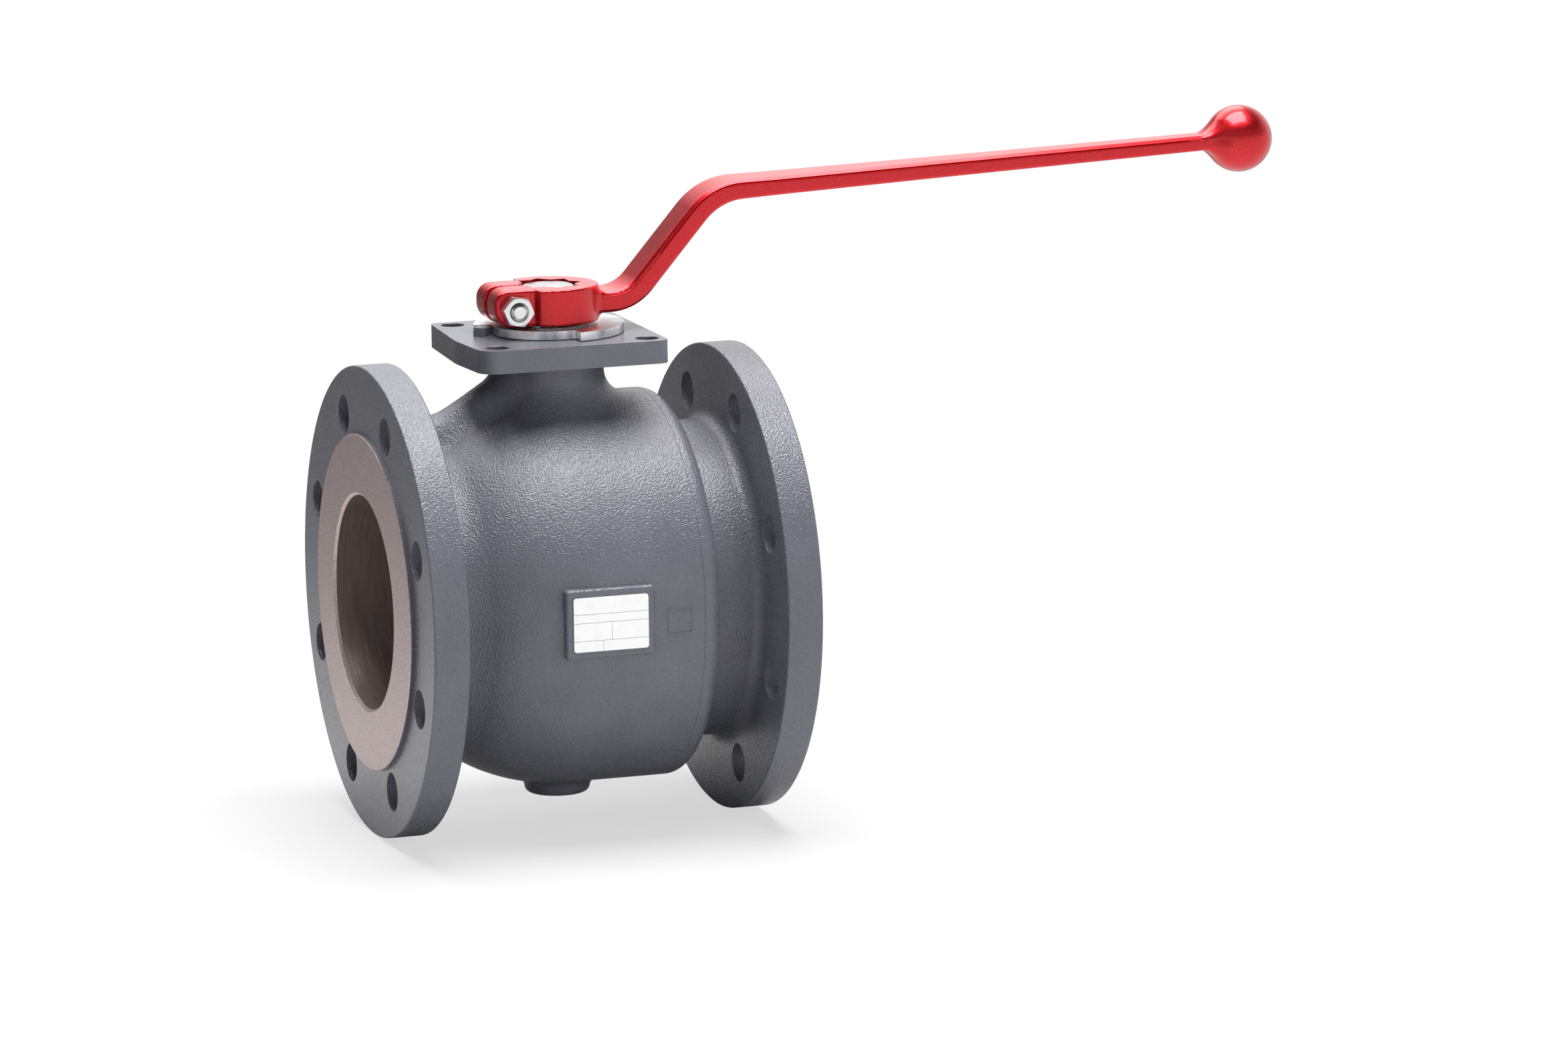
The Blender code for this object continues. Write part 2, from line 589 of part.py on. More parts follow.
def make_stop_disc():
    wall = LUG_HALF_DIAGONAL + FIT_GAP
    rim_edge = math.degrees(math.asin(wall / DISC_R))
    cut_edge = math.degrees(math.asin(wall / DISC_CUT_R))
    outline = arc((0.0, 0.0), DISC_R, -90.0 + rim_edge, 180.0 - rim_edge, 30)
    outline += arc((0.0, 0.0), DISC_CUT_R, 180.0 - cut_edge, 270.0 + cut_edge, 12)
    disc = plate("disc", [outline, stem_head_outline(FIT_GAP)], *DISC_Z)
    node(disc, "stop_disc", ZINC, LEVER_AXIS)


def make_retaining_ring():
    half_gap = RING_GAP_DEG / 2.0
    outline = arc((0.0, 0.0), RING_OUTER_R, half_gap, 360.0 - half_gap, 24)
    outline += arc((0.0, 0.0), RING_INNER_R, 360.0 - half_gap, half_gap, 24)
    node(plate("ring", [outline], *RING_Z), "retaining_ring", ZINC, LEVER_AXIS)


# Lever: split hub clamped on the stem head, cranked arm and a ball to pull on
def arm_path():
    """Centre line of the arm in the XZ plane: straight runs joined by round bends."""
    path = [ARM_PATH[0]]
    for before, corner, after, radius in zip(ARM_PATH, ARM_PATH[1:], ARM_PATH[2:], ARM_BEND_R):
        heading_in = math.atan2(corner[1] - before[1], corner[0] - before[0])
        heading_out = math.atan2(after[1] - corner[1], after[0] - corner[0])
        turn = heading_out - heading_in
        side = math.copysign(1.0, turn)
        setback = radius * math.tan(abs(turn) / 2.0)
        along = (math.cos(heading_in), math.sin(heading_in))
        start = (corner[0] - setback * along[0], corner[1] - setback * along[1])
        centre = (start[0] - side * radius * along[1], start[1] + side * radius * along[0])
        first = math.degrees(heading_in) - side * 90.0
        path += arc(centre, radius, first, first + math.degrees(turn), 6)
    return path + [ARM_PATH[-1]]


def make_arm():
    path = arm_path()
    upper, lower = [], []
    for i, (x, z) in enumerate(path):
        before, after = path[max(i - 1, 0)], path[min(i + 1, len(path) - 1)]
        heading = math.atan2(after[1] - before[1], after[0] - before[0])
        half = interpolate(ARM_THICKNESS, x) / 2.0
        upper.append((x - half * math.sin(heading), z + half * math.cos(heading)))
        lower.append((x + half * math.sin(heading), z - half * math.cos(heading)))
    arm = plate("arm", [upper + lower[::-1]], -1.0, 1.0, upright=True)
    for vertex in arm.data.vertices:
        vertex.co.y *= interpolate(ARM_HALF_WIDTH, vertex.co.x)
    return rounded_edges(arm, ARM_EDGE, 60.0)


def make_lever():
    hub = rods("lever", [(0.0, 0.0)], HUB_R, *HUB_Z, "Z", STEPS_LARGE)
    top, bottom = EAR_ROUND_TOP, EAR_ROUND_BOTTOM
    ears_outline = [(NUT_SEAT_X, EAR_Z[0]), (NUT_SEAT_X, EAR_Z[1])]
    ears_outline += arc((EAR_END_X + top, EAR_Z[1] - top), top, 90.0, 180.0, 4)
    ears_outline += arc((EAR_END_X + bottom, EAR_Z[0] + bottom), bottom, 180.0, 270.0, 4)
    ears = plate("ears", [ears_outline], -EAR_HALF_WIDTH, EAR_HALF_WIDTH, upright=True)
    grip_shape = bmesh.new()
    bmesh.ops.create_uvsphere(grip_shape, u_segments=20, v_segments=12, radius=GRIP_BALL_R,
                              matrix=Matrix.Translation(GRIP_BALL_CENTRE))
    for piece in (ears, make_arm(), from_shape("grip_ball", grip_shape)):
        combine(hub, piece, "UNION")
    tall = (EAR_Z[0] - HOLE_REACH, EAR_Z[1] + HOLE_REACH)
    across = (-STAR_HALF_WIDTH, STAR_HALF_WIDTH)
    star = block("star_square", across, across, tall)
    star_turned = star.copy()
    star_turned.data = star.data.copy()
    star_turned.data.transform(Matrix.Rotation(math.pi / 4.0, 4, "Z"))
    star_turned.name = "star_square_turned"
    cutters.objects.link(star_turned)
    slit_end_x = STAR_HALF_WIDTH / 2.0
    slit = block("slit", (EAR_END_X - HOLE_REACH, -slit_end_x), (-SLIT_HALF_WIDTH, SLIT_HALF_WIDTH), tall)
    seat_x = (EAR_END_X - HOLE_REACH, NUT_SEAT_X)
    near_seat = block("nut_seat", seat_x, (-HUB_R - HOLE_REACH, -EAR_HALF_WIDTH), tall)
    far_seat = block("head_seat", seat_x, (EAR_HALF_WIDTH, HUB_R + HOLE_REACH), tall)
    hole = rods("clamp_hole", [(BOLT_X, BOLT_Z)], BOLT_HOLE_R, -HUB_R, HUB_R, "Y", HOLE_SIDES)
    ring_room = (EAR_Z[0] - HOLE_REACH, RING_Z[1] + FIT_GAP)
    ring_recess = rods("ring_recess", [(0.0, 0.0)], RING_RECESS_R, *ring_room, "Z", STEPS_LARGE)
    for cutter in (star, star_turned, slit, near_seat, far_seat, hole, ring_recess):
        combine(hub, cutter, "DIFFERENCE")
    node(hub, "lever", RED_ENAMEL, LEVER_AXIS)


# Clamp bolt and nut that close the split hub
def make_clamp():
    seat_y = EAR_HALF_WIDTH + FIT_GAP
    place = [(BOLT_X, BOLT_Z)]
    bolt = rods("clamp_bolt", place, BOLT_R, BOLT_END_Y, seat_y + BOLT_HEAD_HEIGHT / 2.0, "Y", HOLE_SIDES)
    head = rods("bolt_head", place, HEX_CORNER_R, seat_y, seat_y + BOLT_HEAD_HEIGHT, "Y", 6)
    combine(bolt, head, "UNION")
    node(bolt, "clamp_bolt", ZINC, LEVER_AXIS)
    nut = rods("clamp_nut", place, HEX_CORNER_R, -seat_y - NUT_HEIGHT, -seat_y, "Y", 6)
    through_nut = (-seat_y - NUT_HEIGHT - HOLE_REACH, -seat_y + HOLE_REACH)
    hole = rods("nut_hole", place, BOLT_HOLE_R, *through_nut, "Y", HOLE_SIDES)
    combine(nut, hole, "DIFFERENCE")
    node(nut, "clamp_nut", ZINC, LEVER_AXIS)


# Blank label on its land
def make_label():
    centre_x, centre_z = sum(LAND_X) / 2.0, sum(LAND_Z) / 2.0
    corners = [(centre_x + su * LABEL_SIZE[0] / 2.0, centre_z + sv * LABEL_SIZE[1] / 2.0, LABEL_CORNER)
               for su, sv in ((1, 1), (-1, 1), (-1, -1), (1, -1))]
    outline = rounded_outline(corners, 2)
    back_y = LAND_FACE_Y - FIT_GAP
    label = plate("label", [outline], back_y - LABEL_THICKNESS, back_y, upright=True)
    node(label, "rating_label", LABEL_FILM, FIXED)


make_body()
make_tail_piece()
make_ball()
make_seats()
make_stem()
make_stem_rings()
make_stop_disc()
make_retaining_ring()
make_lever()
make_clamp()
make_label()
bpy.context.view_layer.update()
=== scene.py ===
"""Finished look of a lever-operated flanged ball valve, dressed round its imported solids.

Metres, +Z up along the stem and +X along the pipe towards the outlet. The origin is the middle of the ball.
"""
import math

import bmesh
import bpy
import numpy as np
from mathutils import Matrix, Vector


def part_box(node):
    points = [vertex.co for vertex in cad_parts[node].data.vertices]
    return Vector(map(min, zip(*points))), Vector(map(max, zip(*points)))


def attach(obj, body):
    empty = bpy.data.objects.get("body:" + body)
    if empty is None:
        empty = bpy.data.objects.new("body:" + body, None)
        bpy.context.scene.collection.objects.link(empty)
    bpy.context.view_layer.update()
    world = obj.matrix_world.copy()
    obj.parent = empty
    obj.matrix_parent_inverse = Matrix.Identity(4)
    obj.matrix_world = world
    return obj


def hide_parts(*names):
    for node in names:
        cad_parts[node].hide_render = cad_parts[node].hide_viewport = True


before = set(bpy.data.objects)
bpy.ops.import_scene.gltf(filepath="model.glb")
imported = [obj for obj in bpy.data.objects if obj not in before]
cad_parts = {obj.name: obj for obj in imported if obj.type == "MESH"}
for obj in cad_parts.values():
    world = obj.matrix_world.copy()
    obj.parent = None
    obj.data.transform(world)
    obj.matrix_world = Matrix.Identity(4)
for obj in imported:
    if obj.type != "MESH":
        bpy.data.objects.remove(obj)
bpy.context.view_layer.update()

# Body casting
# One iron casting: inlet flange, round bowl, stem neck with a square mounting pad, web, drain boss and
# label land. It is sprayed blue-grey all over, then faced and bored bare at the pipe end.
body_low, body_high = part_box("body")
inlet_face_x = body_low.x
flange_r = body_high.y
joint_x = body_high.x
lug_top_z = body_high.z
flange_thickness = 0.019
flange_back_x = inlet_face_x + flange_thickness
raised_face_r = 0.0785
raised_face_height = 0.0022
raised_face_edge = 0.0004
rim_round = 0.0009
bore_r = 0.050
bore_chamfer = 0.0012
bolt_circle_r = 0.090
bolt_hole_r = 0.009
bolt_hole_edge = 0.0002
bolt_count = 8
shell_r = 0.0912
bowl_centre_x = -0.0018
bowl_fillet = 0.005
inlet_neck_r = 0.0715
inlet_fillet = 0.007
neck_r = 0.0252
neck_fillet = 0.0125
neck_top_z = 0.116
web_ridge = ((-0.090, 0.0833), (-0.072, 0.0837), (-0.0605, 0.0847), (-0.0533, 0.0868), (-0.049, 0.0890),
             (-0.0398, 0.0945), (-0.0277, 0.1023), (-0.018, 0.1085))
web_half_width = 0.0125
web_edge = 0.0112
web_fillet = 0.007
web_slope = 0.87  # about the cosine of the ridge's climb
web_bottom_z = 0.06
boss_r = 0.0148
boss_draft = 0.22
boss_bottom_z = -0.097
boss_edge = 0.0022
boss_fillet = 0.0028
boss_sunk = 0.02  # into the bowl
pad_corners = ((0.0444, 0.0452, 0.005), (-0.0447, 0.0452, 0.005), (-0.0482, -0.009, 0.060),
               (-0.0456, -0.0454, 0.009), (0.0444, -0.0454, 0.005))
pad_z = (0.1106, 0.1214)
pad_edge = 0.0016
pad_hole_r = 0.0055
pad_hole_edge = 0.0002
pad_hole_offset = 0.051 / math.sqrt(2.0)
lug_centre_x = -0.0326
lug_half_diagonal = 0.0043
lug_edge = 0.0007
land_x = (-0.0226, 0.0198)
land_z = (-0.0155, 0.0167)
land_y = (-0.0927, -0.080)
land_edge = 0.0014
square_x = (0.0264, 0.0383)
square_z = (-0.0073, 0.0050)
square_line = 0.0006
square_y = (-0.0914, -0.085)
sink = 0.0004  # how far a hidden stretch lies under the finished skin
fit_gap = 0.0003  # between pieces that fit together
reach = 0.003  # how far a cutter goes past a face
cavity_r = 0.0785
seat_pocket_r = 0.0646
seat_pocket_x = 0.0614
seat_mouth_x = math.sqrt(cavity_r ** 2 - seat_pocket_r ** 2)
spigot_r = 0.0817
spigot_depth = 0.0142
# radius and floor of each step of the stem's bore: packing, bush, guide and collar
stem_bore_steps = ((0.019, 0.103), (0.0155, 0.098), (0.0128, 0.0843), (0.0174, 0.064))
casting_cell = 0.0013
casting_low = (inlet_face_x - 0.004, -0.116, -0.116)
casting_high = (joint_x + 0.008, 0.116, 0.122)
clear_of_casting = 0.12
turn_steps = 176


def arc(centre, radius, start_deg, end_deg, count):
    """Points on an arc, both ends included."""
    angles = np.radians(np.linspace(start_deg, end_deg, count + 1))
    return [(centre[0] + radius * math.cos(a), centre[1] + radius * math.sin(a)) for a in angles]


def welded(mesh):
    """Join a mesh's doubled points, drop its empty faces and turn the others outwards."""
    shape = bmesh.new()
    shape.from_mesh(mesh)
    bmesh.ops.remove_doubles(shape, verts=shape.verts, dist=1e-6)
    bmesh.ops.dissolve_degenerate(shape, edges=shape.edges, dist=1e-7)
    bmesh.ops.recalc_face_normals(shape, faces=shape.faces)
    shape.to_mesh(mesh)
    shape.free()


def placed(name, mesh):
    obj = bpy.data.objects.new(name, mesh)
    bpy.context.scene.collection.objects.link(obj)
    return obj


def evaluated(obj):
    """The mesh that an object's curve and modifiers make."""
    bpy.context.view_layer.update()
    graph = bpy.context.evaluated_depsgraph_get()
    return bpy.data.meshes.new_from_object(obj.evaluated_get(graph))


def plain_mesh(obj):
    """Replace an object by the welded mesh that it makes."""
    mesh = evaluated(obj)
    mesh.transform(obj.matrix_world)
    welded(mesh)
    name = obj.name
    bpy.data.objects.remove(obj, do_unlink=True)
    return placed(name, mesh)


def from_shape(name, shape):
    mesh = bpy.data.meshes.new(name)
    shape.to_mesh(mesh)
    shape.free()
    return placed(name, mesh)


def turned(name, profile, axis, steps=turn_steps, closed=False):
    """Turn a profile of (along, radius) points about X, Y or Z."""
    shape = bmesh.new()
    places = {"X": lambda u, r: (u, 0.0, r), "Y": lambda u, r: (r, u, 0.0), "Z": lambda u, r: (r, 0.0, u)}
    points = [shape.verts.new(places[axis](along, radius)) for along, radius in profile]
    for first, second in zip(points, points[1:]):
        shape.edges.new((first, second))
    if closed:
        shape.edges.new((points[-1], points[0]))
    obj = from_shape(name, shape)
    screw = obj.modifiers.new("turn", "SCREW")
    screw.axis = axis
    screw.angle = 2.0 * math.pi
    screw.steps = steps
    screw.render_steps = steps
    screw.use_merge_vertices = True
    screw.merge_threshold = 1e-6
    return plain_mesh(obj)


def plate(name, outlines, low, high, upright=False):
    """Extrude flat outlines between two heights; upright outlines are (x, z) and the heights are y."""
    curve = bpy.data.curves.new(name, "CURVE")
    curve.dimensions = "2D"
    curve.fill_mode = "BOTH"
    curve.extrude = (high - low) / 2.0
    for outline in outlines:
        spline = curve.splines.new("POLY")
        spline.points.add(len(outline) - 1)
        for point, (u, v) in zip(spline.points, outline):
            point.co = (u, v, 0.0, 1.0)
        spline.use_cyclic_u = True
    obj = placed(name, curve)
    middle = (low + high) / 2.0
    obj.matrix_world = Matrix.Translation((0.0, 0.0, middle))
    if upright:
        obj.matrix_world = Matrix.Translation((0.0, middle, 0.0)) @ Matrix.Rotation(math.pi / 2.0, 4, "X")
    return plain_mesh(obj)


def rectangle(us, vs):
    return [(us[0], vs[0]), (us[1], vs[0]), (us[1], vs[1]), (us[0], vs[1])]


def rounded_outline(corners, count):
    """Outline through corners given anticlockwise as (u, v, radius), each rounded to its radius."""
    outline = []
    for i, (u, v, radius) in enumerate(corners):
        before, after = corners[i - 1], corners[(i + 1) % len(corners)]
        heading_in = math.atan2(v - before[1], u - before[0])
        heading_out = math.atan2(after[1] - v, after[0] - u)
        turn = (heading_out - heading_in) % (2.0 * math.pi)
        setback = radius * math.tan(turn / 2.0)
        centre = (u - setback * math.cos(heading_in) - radius * math.sin(heading_in),
                  v - setback * math.sin(heading_in) + radius * math.cos(heading_in))
        first = math.degrees(heading_in) - 90.0
        outline += arc(centre, radius, first, first + math.degrees(turn), count)
    return outline


def softened(obj, width, segments=3, angle_deg=35.0):
    """Round off an object's sharp edges."""
    bevel = obj.modifiers.new("edges", "BEVEL")
    bevel.width = width
    bevel.segments = segments
    bevel.limit_method = "ANGLE"
    bevel.angle_limit = math.radians(angle_deg)
    return plain_mesh(obj)


def repeated(obj, places):
    """The same mesh at several places, as one set."""
    shape = bmesh.new()
    for place in places:
        copy = obj.data.copy()
        copy.transform(Matrix.Translation(place))
        shape.from_mesh(copy)
        bpy.data.meshes.remove(copy)
    name = obj.name
    bpy.data.objects.remove(obj, do_unlink=True)
    return from_shape(name, shape)


def combine(obj, tool, operation):
    """Join a tool to an object, or cut with it, and take the tool away."""
    boolean = obj.modifiers.new(tool.name, "BOOLEAN")
    boolean.operation = operation
    boolean.object = tool
    boolean.solver = "MANIFOLD"
    mesh = evaluated(obj)
    obj.modifiers.clear()
    obj.data = mesh
    bpy.data.objects.remove(tool, do_unlink=True)
    return obj


def rounded_union(a, b, radius):
    """Distance to two shapes joined by a round fillet."""
    fillet = np.hypot(np.maximum(radius - a, 0.0), np.maximum(radius - b, 0.0))
    return np.maximum(radius, np.minimum(a, b)) - fillet


def rounded_corner(a, b, radius):
    """Distance to what two shapes share, with a round edge between them."""
    edge = np.hypot(np.maximum(radius + a, 0.0), np.maximum(radius + b, 0.0))
    return np.minimum(-radius, np.maximum(a, b)) + edge


def onto_surface(points, distance, rounds):
    """Move points along the slope of a distance formula until it is zero."""
    step = 2e-5
    least_slope = 0.1
    for _ in range(rounds):
        value = distance(*points.T)
        slope = [(distance(*(points + step * axis).T) - distance(*(points - step * axis).T)) / (2.0 * step)
                 for axis in np.eye(3)]
        slope = np.stack(slope, axis=1)
        steepness = np.maximum((slope ** 2).sum(axis=1), least_slope)
        points = points - slope * (value / steepness)[:, None]
    return points


def skin(name, distance, low, high, cell):
    """Wrap a mesh of even quads round the zero surface of a distance formula."""
    ticks = [np.arange(a, b + cell, cell) for a, b in zip(low, high)]
    field = distance(*np.meshgrid(*ticks, indexing="ij"))
    inside = field < 0.0
    corners = [(i, j, k) for i in (0, 1) for j in (0, 1) for k in (0, 1)]
    size = [n - 1 for n in field.shape]
    count = sum(inside[i:i + size[0], j:j + size[1], k:k + size[2]].astype(np.int8) for i, j, k in corners)
    cells = np.argwhere((count > 0) & (count < 8))
    number = np.full(size, -1)
    number[tuple(cells.T)] = np.arange(len(cells))
    total, hits = np.zeros((len(cells), 3)), np.zeros(len(cells))
    for first in corners:
        for axis in (n for n in range(3) if first[n] == 0):
            second = tuple(1 if n == axis else first[n] for n in range(3))
            start, end = field[tuple((cells + first).T)], field[tuple((cells + second).T)]
            crosses = (start < 0.0) != (end < 0.0)
            share = np.where(crosses, start / np.where(crosses, start - end, 1.0), 0.0)
            place = cells + first + share[:, None] * np.eye(3)[axis]
            total += place * crosses[:, None]
            hits += crosses
    points = np.array(low) + cell * total / hits[:, None]
    quads = []
    for axis in range(3):
        u, v = (axis + 1) % 3, (axis + 2) % 3
        here = np.take(inside, range(field.shape[axis] - 1), axis)
        beyond = np.take(inside, range(1, field.shape[axis]), axis)
        edges = np.argwhere(here != beyond)
        edges = edges[(edges[:, u] > 0) & (edges[:, v] > 0)]
        step_u, step_v = np.eye(3, dtype=int)[u], np.eye(3, dtype=int)[v]
        ring = [number[tuple((edges - back).T)] for back in (step_u + step_v, step_v, 0 * step_u, step_u)]
        ring = np.stack(ring, axis=1)
        outward = here[tuple(edges.T)]
        quads.append(np.where(outward[:, None], ring, ring[:, ::-1]))
    quads = np.concatenate(quads)
    for _ in range(2):
        points = onto_surface(points, distance, 2)
        pull, shares = np.zeros_like(points), np.zeros(len(points))
        for turn in range(4):
            np.add.at(pull, quads[:, turn], points[quads[:, turn - 1]])
            np.add.at(shares, quads[:, turn], 1.0)
        points = 0.5 * points + 0.5 * pull / shares[:, None]
    points = onto_surface(points, distance, 3)
    mesh = bpy.data.meshes.new(name)
    mesh.from_pydata(points.tolist(), [], quads.tolist())
    mesh.validate()
    return placed(name, mesh)


def shaded(obj, angle_deg=32.0):
    """Smooth shading that keeps flats flat and sharp edges sharp."""
    obj.data.shade_smooth()
    obj.data.set_sharp_from_angle(angle=math.radians(angle_deg))
    weighted = obj.modifiers.new("flats", "WEIGHTED_NORMAL")
    weighted.keep_sharp = True


def bowl_and_neck(x, y, z):
    """Distance to the cast skin of the body: bowl, pipe neck, stem neck, web and boss, all filleted."""
    across = np.hypot(y, z)
    shape = np.where(x < bowl_centre_x, np.hypot(x - bowl_centre_x, across), across) - shell_r
    middle = inlet_face_x + flange_thickness / 2.0
    pipe_neck = np.maximum(across - inlet_neck_r, np.maximum(x - bowl_centre_x, middle - x))
    shape = rounded_union(shape, pipe_neck, bowl_fillet)
    flange = np.maximum(across - flange_r + 4.0 * sink, np.maximum(middle - x, x - flange_back_x + sink))
    shape = rounded_union(shape, flange, inlet_fillet)
    stem_neck = np.maximum(np.hypot(x, y) - neck_r, np.maximum(-z, z - neck_top_z))
    shape = rounded_union(shape, stem_neck, neck_fillet)
    web_top = np.interp(x, *zip(*web_ridge))
    web_side = np.maximum(np.abs(y) - web_half_width, x - web_ridge[-1][0])
    web = rounded_corner(web_side, web_slope * (z - web_top), web_edge)
    web = np.maximum(web, np.maximum(web_bottom_z - z, middle - x))
    shape = rounded_union(shape, web, web_fillet)
    boss_side = np.hypot(x, y) - boss_r - boss_draft * (z - boss_bottom_z)
    boss = rounded_corner(boss_side, boss_bottom_z - z, boss_edge)
    boss = np.maximum(boss, z + shell_r - boss_sunk)
    shape = rounded_union(shape, boss, boss_fillet)
    return np.maximum(shape, x - joint_x - reach)


def flange_profile(face_x, inward):
    """Half section of a flange, from its face over the rim to its back, as (along, radius) points."""
    front_x = face_x + inward * raised_face_height
    back_x = face_x + inward * flange_thickness
    turn = 90.0 + inward * 90.0
    rim_r = flange_r - rim_round
    profile = [(face_x, raised_face_r - raised_face_edge)]
    profile += [(face_x + inward * raised_face_edge, raised_face_r), (front_x, raised_face_r)]
    profile += arc((front_x + inward * rim_round, rim_r), rim_round, turn, 90.0, 3)
    return profile + arc((back_x - inward * rim_round, rim_r), rim_round, 90.0, 180.0 - turn, 3)


def flange_bolt_holes(name, face_x, inward):
    """Cutters for the bolt circle, opened a little at both faces."""
    front_x = face_x + inward * raised_face_height
    back_x = face_x + inward * flange_thickness
    mouth_r = bolt_hole_r + bolt_hole_edge
    profile = [(front_x - inward * reach, 0.0), (front_x - inward * reach, mouth_r), (front_x, mouth_r)]
    profile += [(front_x + inward * bolt_hole_edge, bolt_hole_r)]
    profile += [(back_x - inward * bolt_hole_edge, bolt_hole_r)]
    profile += [(back_x, mouth_r), (back_x + inward * reach, mouth_r), (back_x + inward * reach, 0.0)]
    angles = [2.0 * math.pi * (i + 0.5) / bolt_count for i in range(bolt_count)]
    places = [(0.0, bolt_circle_r * math.cos(a), bolt_circle_r * math.sin(a)) for a in angles]
    return repeated(turned(name, profile, "X", 40), places)


def cavity_arc(start_x, end_x, count):
    """Section of the round chamber that the ball sits in."""
    start = math.degrees(math.acos(start_x / cavity_r))
    end = math.degrees(math.acos(end_x / cavity_r))
    return arc((0.0, 0.0), cavity_r, start, end, count)


body = skin("body_casting", bowl_and_neck, casting_low, casting_high, casting_cell)
flange = [(inlet_face_x, 0.0)] + flange_profile(inlet_face_x, 1.0) + [(flange_back_x, 0.0)]
pad = plate("pad", [rounded_outline(pad_corners, 10)], *pad_z)
land = plate("land", [rectangle(land_x, land_z)], *land_y, upright=True)
lug_outline = arc((lug_centre_x, 0.0), lug_half_diagonal, 0.0, 270.0, 3)
lug = plate("lug", [lug_outline], pad_z[0] + reach, lug_top_z)
inner_square = [(low + square_line, high - square_line) for low, high in (square_x, square_z)]
square_rim = [rectangle(square_x, square_z), rectangle(*inner_square)]
cast_square = plate("cast_square", square_rim, *square_y, upright=True)
for piece in (turned("flange", flange, "X"), softened(pad, pad_edge), softened(lug, lug_edge),
              softened(land, land_edge), cast_square):
    combine(body, piece, "UNION")
spigot_floor_x = joint_x - spigot_depth - fit_gap
bore = [(inlet_face_x - reach, 0.0), (inlet_face_x - reach, bore_r + bore_chamfer + reach),
        (inlet_face_x + bore_chamfer, bore_r), (-seat_pocket_x, bore_r), (-seat_pocket_x, seat_pocket_r)]
bore += cavity_arc(-seat_mouth_x, 0.0, 16)
bore += [(spigot_floor_x, cavity_r), (spigot_floor_x, spigot_r + fit_gap)]
bore += [(joint_x + reach, spigot_r + fit_gap), (joint_x + reach, 0.0)]
beyond = rectangle((joint_x, joint_x + clear_of_casting), (-clear_of_casting, clear_of_casting))
past_joint = plate("past_joint", [beyond], -clear_of_casting, clear_of_casting)
combine(body, past_joint, "DIFFERENCE")
step_top_z = pad_z[1] + reach
stem_bore = [(step_top_z, 0.0)]
for step_r, step_floor_z in stem_bore_steps:
    stem_bore += [(step_top_z, step_r), (step_floor_z, step_r)]
    step_top_z = step_floor_z
stem_bore += [(step_top_z, 0.0)]
hole = [(pad_z[0] - reach, 0.0), (pad_z[0] - reach, pad_hole_r), (pad_z[1] - pad_hole_edge, pad_hole_r),
        (pad_z[1] + reach, pad_hole_r + reach + pad_hole_edge), (pad_z[1] + reach, 0.0)]
corners = [(u * pad_hole_offset, v * pad_hole_offset, 0.0) for u in (-1, 1) for v in (-1, 1)]
for cutter in (turned("bore", bore, "X"), turned("stem_bore", stem_bore, "Z", 96),
               repeated(turned("pad_holes", hole, "Z", 40), corners),
               flange_bolt_holes("inlet_bolt_holes", inlet_face_x, 1.0)):
    combine(body, cutter, "DIFFERENCE")
welded(body.data)


def new_finish(name):
    """A new node material, its nodes and its shader."""
    made = bpy.data.materials.new(name)
    made.use_nodes = True
    return made, made.node_tree, made.node_tree.nodes["Principled BSDF"]


def set_up(node, **values):
    """Plain values on a shader's or another node's own sockets."""
    for key, value in values.items():
        node.inputs[key.replace("_", " ").title().replace("Ior", "IOR")].default_value = value


def where(tree):
    """Places in the piece's own frame."""
    return tree.nodes.new("ShaderNodeTexCoord").outputs["Object"]


def grain(tree, scale, detail=2.0, roughness=0.5, distortion=0.0, stretch=None):
    """Cloudy noise with about this many clouds to a metre, drawn out along the axes if stretch is given."""
    place = where(tree)
    if stretch:
        mapping = tree.nodes.new("ShaderNodeMapping")
        set_up(mapping, scale=stretch)
        tree.links.new(place, mapping.inputs["Vector"])
        place = mapping.outputs["Vector"]
    noise = tree.nodes.new("ShaderNodeTexNoise")
    set_up(noise, scale=scale, detail=detail, roughness=roughness, distortion=distortion)
    tree.links.new(place, noise.inputs["Vector"])
    return noise.outputs["Fac"]


def arithmetic(operation, *terms):
    """A sum, product or the like of sockets and plain numbers."""
    plain = (int, float)
    tree = next(term for term in terms if not isinstance(term, plain)).id_data
    node = tree.nodes.new("ShaderNodeMath")
    node.operation = operation
    for socket, term in zip(node.inputs, terms):
        if isinstance(term, plain):
            socket.default_value = term
        else:
            tree.links.new(term, socket)
    return node.outputs["Value"]


def spread(value, low, high, from_low=0.3, from_high=0.7):
    """Map a value onto a range."""
    tree = value.id_data
    node = tree.nodes.new("ShaderNodeMapRange")
    set_up(node, from_min=from_low, from_max=from_high, to_min=low, to_max=high)
    tree.links.new(value, node.inputs["Value"])
    return node.outputs["Result"]


def tones(value, *stops):
    """Colours along a value, given as (position, colour)."""
    tree = value.id_data
    node = tree.nodes.new("ShaderNodeValToRGB")
    ramp = node.color_ramp
    while len(ramp.elements) < len(stops):
        ramp.elements.new(0.5)
    for element, (position, colour) in zip(ramp.elements, stops):
        element.position = position
        element.color = (*colour, 1.0)
    tree.links.new(value, node.inputs["Fac"])
    return node.outputs["Color"]


def coloured(shader, colour, roughness):
    """A colour and a roughness that vary over a shader."""
    tree = shader.id_data
    tree.links.new(colour, shader.inputs["Base Color"])
    tree.links.new(roughness, shader.inputs["Roughness"])


def relief(shader, height, depth):
    """Bump of this depth in metres on a shader."""
    tree = shader.id_data
    node = tree.nodes.new("ShaderNodeBump")
    set_up(node, strength=1.0, distance=depth)
    tree.links.new(height, node.inputs["Height"])
    tree.links.new(node.outputs["Normal"], shader.inputs["Normal"])


